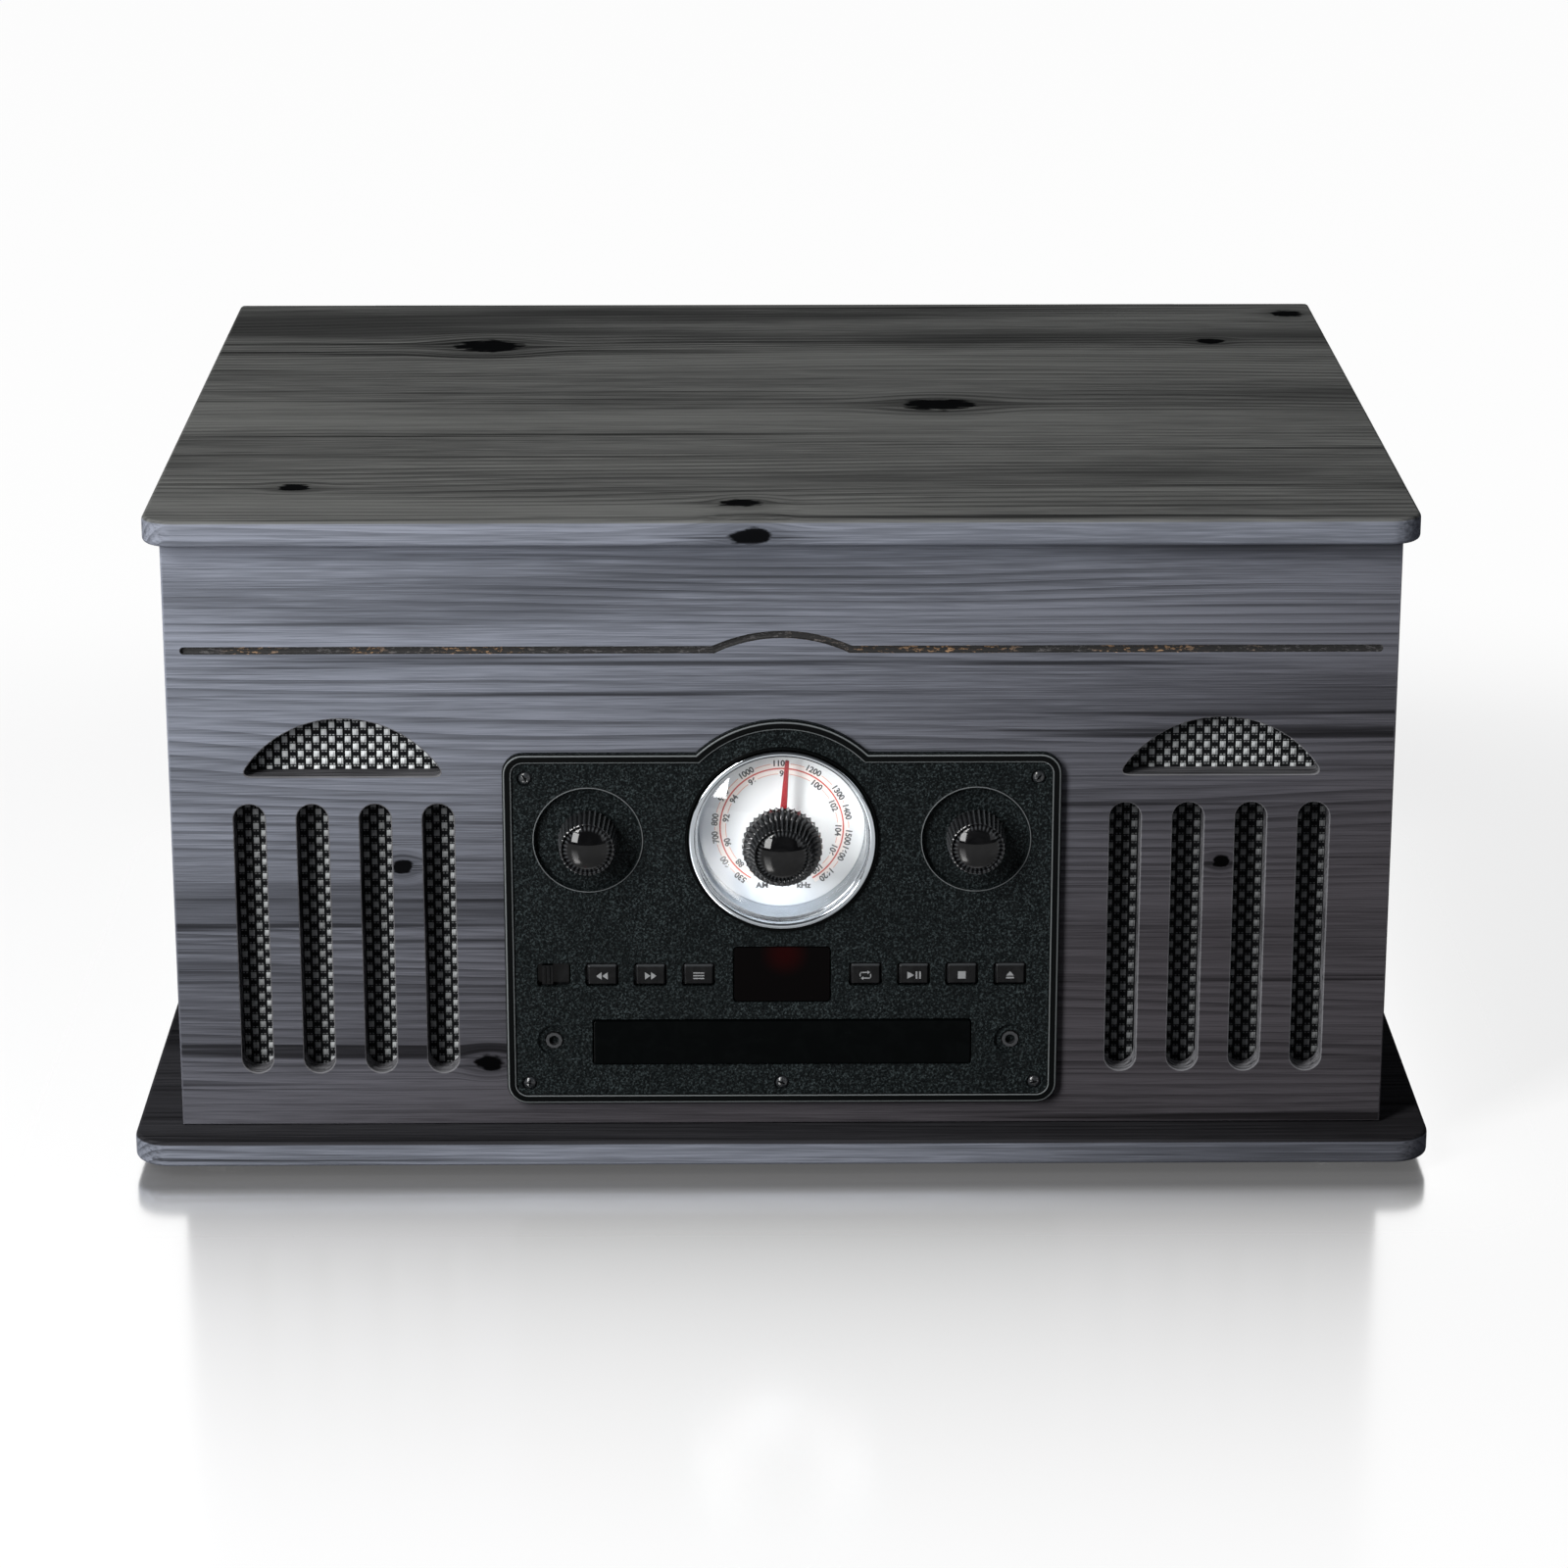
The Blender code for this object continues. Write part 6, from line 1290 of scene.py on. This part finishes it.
def fluted_knob(body, x, grip, cap, shaft, flutes, depth):
    """A knob's fluted grip and polished cap as one mesh. The cap is its radius, tip, rise and groove."""
    centre = (x, field_front, dial_z)
    radius, tip, rise, groove = cap
    profile = dome(radius, tip, rise, 10) + [(radius + 0.00015, groove)] + grip + shaft
    knob = turned(f"{body}_moulded", centre, profile, steps=flutes * 12, flutes=flutes, flute_depth=depth)
    mark_worn(knob, rib_wear(centre, grip, flutes))
    finish_piece(knob, [knob_polish, knob_grip], body, [body], 32.0)
    for face in knob.data.polygons:
        reach = hypot(face.center.x - x, face.center.z - dial_z)
        capped = reach < radius + 0.0001 and face.center.y < field_front + groove
        face.material_index = 0 if capped else 1


fluted_knob("tuning_knob", 0.0, tuning_grip, tuning_cap, tuning_shaft, 40, 0.0013)
fluted_knob("function_knob", -knob_x, small_grip, small_cap, small_shaft, 34, 0.0009)
fluted_knob("volume_knob", knob_x, small_grip, small_cap, small_shaft, 34, 0.0009)


# Push buttons and slide switch. Polished black caps, each held behind the fascia by a flange and pressing
# a switch on the control board. Their marks are pad-printed.
cap_width = 0.01085
cap_height = 0.0080
cap_corner = 0.0010
cap_front = field_front + 0.0002
flange_front = plate_back + 0.0003
flange_back = flange_front + 0.0008
flange_reach = 0.0009
stem_radius = 0.0016
stem_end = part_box("play_button")[1].y
mark_level = cap_front - 0.00003
mark_drop = 0.0003
mark_half = 0.00135
mark_stroke = 0.00042
mark_grey = (0.20, 0.205, 0.21)
switch_ribs = {"left": -0.08175, "right": -0.08025}
rib_half_width = 0.00032
rib_half_height = 0.0030
gloss_black = make_polished("button_gloss", (0.0028, 0.0030, 0.0033), 0.12, 0.12)
mark_ink = make_ink("button_ink", mark_grey)


def triangle(tip, base):
    """A triangle that points along the row from its base to its tip."""
    return [(tip, 0.0), (base, mark_half), (base, -mark_half)]


def ring_marks(half, top, stroke):
    """Two hooked arrows that chase each other: the sides of a loop with a gap, and two heads."""
    pieces = []
    for way in (1, -1):
        side = box_outline(-half * way, (top - stroke) * way, half * 0.35 * way, top * way)
        hook = box_outline(-half * way, -top * 0.35 * way, (stroke - half) * way, top * way)
        middle = top - stroke / 2
        head = stroke * 1.7
        corners = ((half * 0.35, middle + head), (half * 0.35, middle - head), (half * 0.8, middle))
        pieces += [side, hook, [(u * way, v * way) for u, v in corners]]
    return pieces


lines = (-0.0010, 0.0, 0.0010)
marks = {
    "back": [triangle(-0.0021, -0.0002), triangle(0.0, 0.0019)],
    "forward": [triangle(0.0, -0.0019), triangle(0.0021, 0.0002)],
    "program": [box_outline(-0.0019, z - mark_stroke / 2, 0.0019, z + mark_stroke / 2) for z in lines],
    "repeat": ring_marks(0.0020, 0.00125, 0.0004),
    "play": [triangle(0.0002, -0.0022)],
    "stop": [box_outline(-mark_half, -mark_half, mark_half, mark_half)],
    "eject": [[(-mark_half, -0.0003), (mark_half, -0.0003), (0.0, mark_half)]],
}
marks["play"] += [box_outline(left, -mark_half, left + 0.0006, mark_half) for left in (0.0007, 0.0019)]
marks["eject"].append(box_outline(-mark_half, -mark_half, mark_half, 0.0006 - mark_half))


def cap_wear(point):
    """The top and right edges of a cap are painted paler, as a highlight along its bevel."""
    if not cap_front + 0.00005 < point.y < cap_front + 0.0008:
        return 0.0
    middle = min(button_rows, key=lambda x: abs(x - point.x))
    upper = (point.z - button_z) / (cap_height / 2)
    right = (point.x - middle) / (cap_width / 2)
    return max(0.0, min(1.0, 4.0 * (max(upper, 0.8 * right) - 0.70)))


cap_steps = (
    (0.0011, cap_front), (0.0008, cap_front + 0.0001), (0.0004, cap_front + 0.0006),
    (0.0001, cap_front + 0.0011), (0.0, cap_front + 0.0015), (0.0, flange_front),
    (-flange_reach, flange_front), (-flange_reach, flange_back),
)  # fmt: skip
for name, x in zip(marks, button_rows[1:]):
    rings = []
    for inset, level in cap_steps:
        size = (cap_width - 2 * inset, cap_height - 2 * inset, max(cap_corner - inset, 0.0003))
        rings.append((rounded_rectangle(x, button_z, *size, 5), level))
    stem = arc(x, button_z, stem_radius, 180.0, 540.0, 24)[:-1]
    rings += [(stem, flange_back), (stem, stem_end)]
    cap = loft(f"{name}_button_cap", "Y", rings)
    mark_worn(cap, cap_wear)
    finish_piece(cap, [gloss_black], f"{name}_button", [f"{name}_button"], 38.0)
    mark = bmesh.new()
    for outline in marks[name]:
        mark.faces.new([mark.verts.new((x + u, mark_level, button_z - mark_drop + v)) for u, v in outline])
    finish_piece(mesh_piece(f"{name}_button_mark", mark), [mark_ink], f"{name}_button")

dress(gloss_black, "slide_switch")
for side_name, rib_x in switch_ribs.items():
    rings = []
    for inset, level in from_field((0.0002, 0.0), (0.0, 0.0003), (0.0, 0.0007)):
        half = rib_half_width - inset
        ends = (rib_x - half, button_z - rib_half_height, rib_x + half, button_z + rib_half_height)
        rings.append((box_outline(*ends), level))
    rib = loft(f"slide_switch_rib_{side_name}", "Y", rings)
    finish_piece(rib, [gloss_black], "slide_switch")


# Display. A smoked red acrylic window, set in its opening in the fascia, with the clock's digits unlit
# behind it.
display_low, display_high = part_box("display_window")
display_play = 0.0003
display_round = 0.0003
display_back_round = 0.0001
# Painted glow: the window is paler red round a spot above its middle, though nothing behind it is lit.
glow_place = (0.001, display_low.y, button_z + 0.0075)
glow_near = 0.001
glow_far = 0.0095
smoked = (0.0016, 0.0012, 0.0013)
smoked_glow = (0.011, 0.0010, 0.0011)


def display_outline(inset):
    width = display_high.x - display_low.x - 2 * inset
    height = display_high.z - display_low.z - 2 * inset
    corner = display_size[2] - display_play - min(inset, 0.0006)
    return rounded_rectangle(0.0, button_z, width, height, corner)


levels = (display_low.y, display_high.y, display_round, display_back_round)
display = rounded_slab("display_window_smoked", "Y", display_outline, *levels)
display_material, surface, vector = new_material("smoked_red_acrylic")
principled(
    surface,
    Base_Color=vector.distance(*glow_place).spread(glow_far, glow_near).mix(smoked, smoked_glow),
    Roughness=vector.noise(180.0, 4.0, 0.6, 1.0).spread(0.35, 0.75, 0.05, 0.12),
    Specular_IOR_Level=0.02,
)
finish_piece(display, [display_material], "cabinet", ["display_window"], 30.0)


# Sockets. Each a grey block on the control board, with a plated ring round its bore, behind its hole in
# the fascia.
jack_ring_back = field_front + 0.0017
jack_grey = ((0.020, 0.020, 0.021), (0.034, 0.034, 0.036))
jack_plated = ((0.045, 0.047, 0.050), (0.070, 0.072, 0.075))
jack_material, surface, vector = new_material("jack_plastic_and_ring")
ring_share = vector.parts()[1].spread(jack_ring_back + 0.0002, jack_ring_back - 0.0002)
spots = vector.noise(700.0, 3.0)
principled(
    surface,
    Base_Color=ring_share.mix(spots.mix(*jack_grey), spots.mix(*jack_plated)),
    Metallic=ring_share * 0.9,
    Roughness=spots.spread(0.3, 0.7, 0.28, 0.42),
)
dress(jack_material, "headphone_jack", "line_in_jack")


# Disc drawer. A gloss black front on a satin tray with a shallow seat for the disc. Its chassis carries a
# clamp bridge, two steel rods for the laser sled, and the spindle motor.
drawer_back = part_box("disc_drawer")[0].y + 0.0032
drawer_satin = ((0.016, 0.016, 0.017), (0.026, 0.026, 0.027))
drawer_gloss = ((0.0010, 0.0014, 0.0015), (0.0016, 0.0021, 0.0022))
drawer_material, surface, vector = new_material("drawer_plastic")
front = vector.parts()[1].spread(drawer_back + 0.0002, drawer_back - 0.0002)
swirls = vector.noise(120.0, 4.0, 0.65, 1.0)
wiped = swirls.spread(0.4, 0.7)
rough = {0: front, 2: swirls.spread(0.3, 0.7, 0.38, 0.50), 3: swirls.spread(0.35, 0.75, 0.06, 0.13)}
principled(
    surface,
    Base_Color=front.mix(wiped.mix(*drawer_satin), wiped.mix(*drawer_gloss)),
    Roughness=vector.place("Mix", {"data_type": "FLOAT"}, rough),
    Normal=(vector.noise(2600.0) * (1.0 - front)).bump(0.00003),
    Specular_IOR_Level=0.02,
)
dress(drawer_material, "disc_drawer")
steel = make_metal("plated_steel", (0.50, 0.51, 0.52), 0.34, scale=500.0, spots=0.12)
dress(make_plastic("chassis_plastic", (0.022, 0.022, 0.024), 0.48), "disc_mechanism")
dress(make_plastic("spindle_plastic", (0.045, 0.045, 0.048), 0.42), "disc_spindle")
dress(make_plastic("sled_plastic", (0.030, 0.030, 0.032), 0.40), "laser_sled")
low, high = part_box("laser_sled")
sled_middle = ((low.x + high.x) / 2, (low.y + high.y) / 2, high.z)
pickup_profile = [(0.0, -0.0001), (0.0012, -0.0003), (0.0019, -0.0009), (0.0019, -0.0022)]
pickup = turned("laser_lens", sled_middle, pickup_profile, "Z", 32)
finish_piece(pickup, [lens_material], "laser_sled", angle=50.0)


# Lid. One board with rounded edges, stained as the cabinet is. Its top is painted darker and a little
# greener than its front, as shade, and its front edges are pale, partly wear and partly a painted
# highlight. Two plated hinges carry it, and a folding stay holds it open.
lid_corner = 0.0110
# The lid's top tones are a painted shade: darker and greener than the cabinet's tones, which its front
# takes.
lid_top_shaded_tones = ((0.0060, 0.0063, 0.0066), (0.068, 0.069, 0.068), (0.136, 0.138, 0.134))
leaf_screw_radius = 0.0024
leaf_screw_rise = 0.0004
leaf_screw_skirt = 0.0005
lid_low, lid_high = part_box("lid")
lid_knots = [
    ((-0.1112, 0.0980, lid_high.z), (0.0150, 0.0120, 0.02)),
    ((0.0592, -0.0015, lid_high.z), (0.0160, 0.0110, 0.02)),
    ((0.1687, 0.1050, lid_high.z), (0.0065, 0.0058, 0.02)),
    ((0.2043, 0.1548, lid_high.z), (0.0070, 0.0075, 0.02)),
    ((-0.0140, -0.1454, lid_high.z), (0.0090, 0.0060, 0.02)),
    ((-0.1671, -0.1228, lid_high.z), (0.0070, 0.0050, 0.02)),
    ((-0.0105, lid_low.y, 0.2277), (0.0100, 0.02, 0.0036)),
]
lid_board = make_board("lid_stained", "lid", lid_corner)
lid_wood = make_wood("lid_wood", lid_top_shaded_tones, lid_knots, edge_below=lid_high.z - 0.0006, coarse=1.5)
finish_piece(lid_board, [lid_wood], "lid", ["lid"])
for side_name in ("left", "right"):
    for leaf in ("cabinet", "lid"):
        node = f"{side_name}_hinge_{leaf}_leaf"
        dress(steel, node)
        low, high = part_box(node)
        height = high.z - low.z
        radius = min(leaf_screw_radius, 0.32 * height)
        for i, share in enumerate((0.16, 0.84)):
            centre = (low.x + share * (high.x - low.x), high.y + leaf_screw_rise, low.z + 0.45 * height)
            shape = (radius, leaf_screw_rise, leaf_screw_skirt, 31.0 * i, 1)
            screw = cross_head(f"{side_name}_{leaf}_leaf_screw_{i + 1}", centre, *shape)
            finish_piece(screw, [steel], leaf)
dress(steel, "lid_stay_rail", "lid_stay_arm", "lid_stay_bracket")


# Deck plate. A black moulding that covers the works, with a leathery grain. The cleats glued to the side
# panels carry it.
dress(make_plastic("deck_plastic", (0.020, 0.020, 0.021), 0.50, 0.06, 1400.0, 0.00010), "deck_plate")


# Platter. A die-cast aluminium dish on its bearing, with a polished rim, and a ribbed rubber mat on top
# with a raised label ring.
mat_hole = 0.0038
mat_label = 0.0180
mat_rib_first = 0.0200
mat_rib_pitch = 0.0030
mat_rib_rise = 0.0004
dress(make_metal("cast_aluminium", (0.66, 0.67, 0.68), 0.26, (1.0, 1.0, 12.0), 260.0), "platter")
low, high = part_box("platter")
platter_centre = ((low.x + high.x) / 2, (low.y + high.y) / 2, 0.0)
mat_low, mat_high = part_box("platter_mat")
mat_radius = (mat_high.x - mat_low.x) / 2
mat_top = mat_high.z
mat_sole = mat_low.z + 0.0001
mat_valley = mat_top - mat_rib_rise
mat_profile = [(mat_hole, mat_top - 0.0006), (mat_hole + 0.0002, mat_valley), (mat_label, mat_valley)]
reach = mat_rib_first
while reach + mat_rib_pitch < mat_radius - 0.0030:
    mat_profile += [(reach, mat_valley), (reach + 0.0004, mat_top)]
    mat_profile += [(reach + 0.0012, mat_top), (reach + 0.0016, mat_valley)]
    reach += mat_rib_pitch
mat_profile += [(mat_radius - 0.0020, mat_top), (mat_radius - 0.0006, mat_top - 0.0001)]
mat_profile += [(mat_radius, mat_top - 0.0007), (mat_radius, mat_sole), (mat_hole, mat_sole)]
mat = turned("platter_mat_ribbed", platter_centre, mat_profile, "Z", 160)
finish_piece(mat, [rubber], "platter", ["platter_mat"], 30.0)
dress(steel, "platter_bearing", "platter_motor")
dress(make_plastic("belt_rubber", (0.010, 0.010, 0.010), 0.62, 0.08), "drive_belt")
dress(make_metal("brass", (0.72, 0.52, 0.24), 0.26), "motor_pulley")


# Tonearm. A bent aluminium tube on a gimbal, with a black counterweight, a moulded headshell and a red
# cartridge, over a base that carries the cue lever. A clip on the deck's post keeps it at rest.
tube_front = -0.0955
tube_back = 0.0695
arm_blacks = ((0.010, 0.010, 0.011), (0.020, 0.020, 0.021))
arm_silvers = ((0.62, 0.63, 0.64), (0.78, 0.79, 0.80))
clip_x = 0.1489
clip_y = -0.04365
clip_low = 0.1861
clip_high = 0.2100
clip_half_width = 0.0035
clip_half_thick = 0.0010
arm_material, surface, vector = new_material("tonearm_finishes")
y = vector.parts()[1]
tube = y.spread(tube_front - 0.0005, tube_front + 0.0005) * y.spread(tube_back + 0.0005, tube_back - 0.0005)
grain = vector.scaled(1.0, 14.0, 1.0).noise(420.0, 3.0)
principled(
    surface,
    Base_Color=tube.mix(grain.mix(*arm_blacks), grain.mix(*arm_silvers)),
    Metallic=tube,
    Roughness=grain.spread(0.3, 0.7, 0.22, 0.34),
)
dress(arm_material, "tonearm")
dress(steel, "tonearm_gimbal")
arm_black = make_plastic("arm_black", (0.014, 0.014, 0.015), 0.36)
dress(arm_black, "tonearm_base", "cue_lever")
dress(make_plastic("switch_plastic", (0.020, 0.020, 0.021), 0.34), "speed_switch")
clip_middle = clip_x + clip_half_thick
clip_outline = [(clip_x, clip_low), (clip_x + 2 * clip_half_thick, clip_low)]
clip_outline += arc(clip_middle, clip_high - clip_half_thick, clip_half_thick, 0.0, 180.0, 8)
clip_levels = (clip_y - clip_half_width, clip_y + clip_half_width)
clip = loft("arm_rest_clip", "Y", [(clip_outline, level) for level in clip_levels])
finish_piece(clip, [arm_black], "cabinet")


# Electronics. Green glass-fibre boards with their parts, one behind the fascia and one for the amplifier,
# and a laminated transformer, all under the deck.
board_green = (0.006, 0.060, 0.022)
board_track = (0.018, 0.125, 0.050)
board_dust = (0.10, 0.10, 0.09)
board_material, surface, vector = new_material("circuit_board_green")
squares = {"feature": "F1", "distance": "CHEBYCHEV"}
squares = vector.place("TexVoronoi", squares, {"Vector": vector, "Scale": 260.0}, "Distance")
tracks = squares.spread(0.46, 0.52)
dust = vector.noise(900.0, 3.0)
principled(
    surface,
    Base_Color=dust.spread(0.5, 0.8, 0.0, 0.3).mix(tracks.mix(board_green, board_track), board_dust),
    Roughness=dust.spread(0.3, 0.7, 0.30, 0.45),
    Normal=tracks.bump(0.00004),
)
dress(board_material, "control_board", "amplifier_board")
laminated = make_metal("laminated_steel", (0.20, 0.19, 0.18), 0.45, (1.0, 1.0, 30.0), 300.0, 0.2)
dress(laminated, "power_transformer")


# Connector plate. A black steel plate behind, with two plated phono sockets, told apart by their red and
# white insulators, and the mains inlet.
phono_offset = 0.0200
phono_half_pitch = 0.0070
phono_proud = 0.0060
phono_barrel = 0.0060
phono_insulator = 0.0033
phono_edge = 0.0002
phono_plated = (0.62, 0.60, 0.56)
insulators = ((-1, (0.46, 0.02, 0.02)), (1, (0.70, 0.70, 0.67)))
low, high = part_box("connector_plate")
phono_x = (low.x + high.x) / 2 + phono_offset
phono_z = (low.z + high.z) / 2
plate_face = high.y - phono_proud
plate_material, surface, vector = new_material("connector_plate_finishes")
skin = use_group(skin_group, Vector=vector, Grain=1100.0)
flattened = vector.scaled(1.0, 0.0, 1.0)
proud = vector.parts()[1].spread(plate_face - 0.0006, plate_face - 0.0003)
colour = skin["Grain"].mix((0.010, 0.010, 0.011), (0.022, 0.022, 0.023))
plated = []
for side, insulator in insulators:
    away = flattened.distance(phono_x + side * phono_half_pitch, 0.0, phono_z)
    barrel = away.spread(phono_barrel, phono_barrel - phono_edge) * proud
    inner = away.spread(phono_insulator, phono_insulator - phono_edge) * proud
    colour = inner.mix(barrel.mix(colour, phono_plated), insulator)
    plated.append(barrel - inner)
principled(
    surface,
    Base_Color=colour,
    Metallic=plated[0].highest(plated[1]),
    Roughness=skin["Patch"].spread(0.3, 0.7, 0.30, 0.46),
    Normal=skin["Grain"].bump(0.00003),
)
dress(plate_material, "connector_plate")
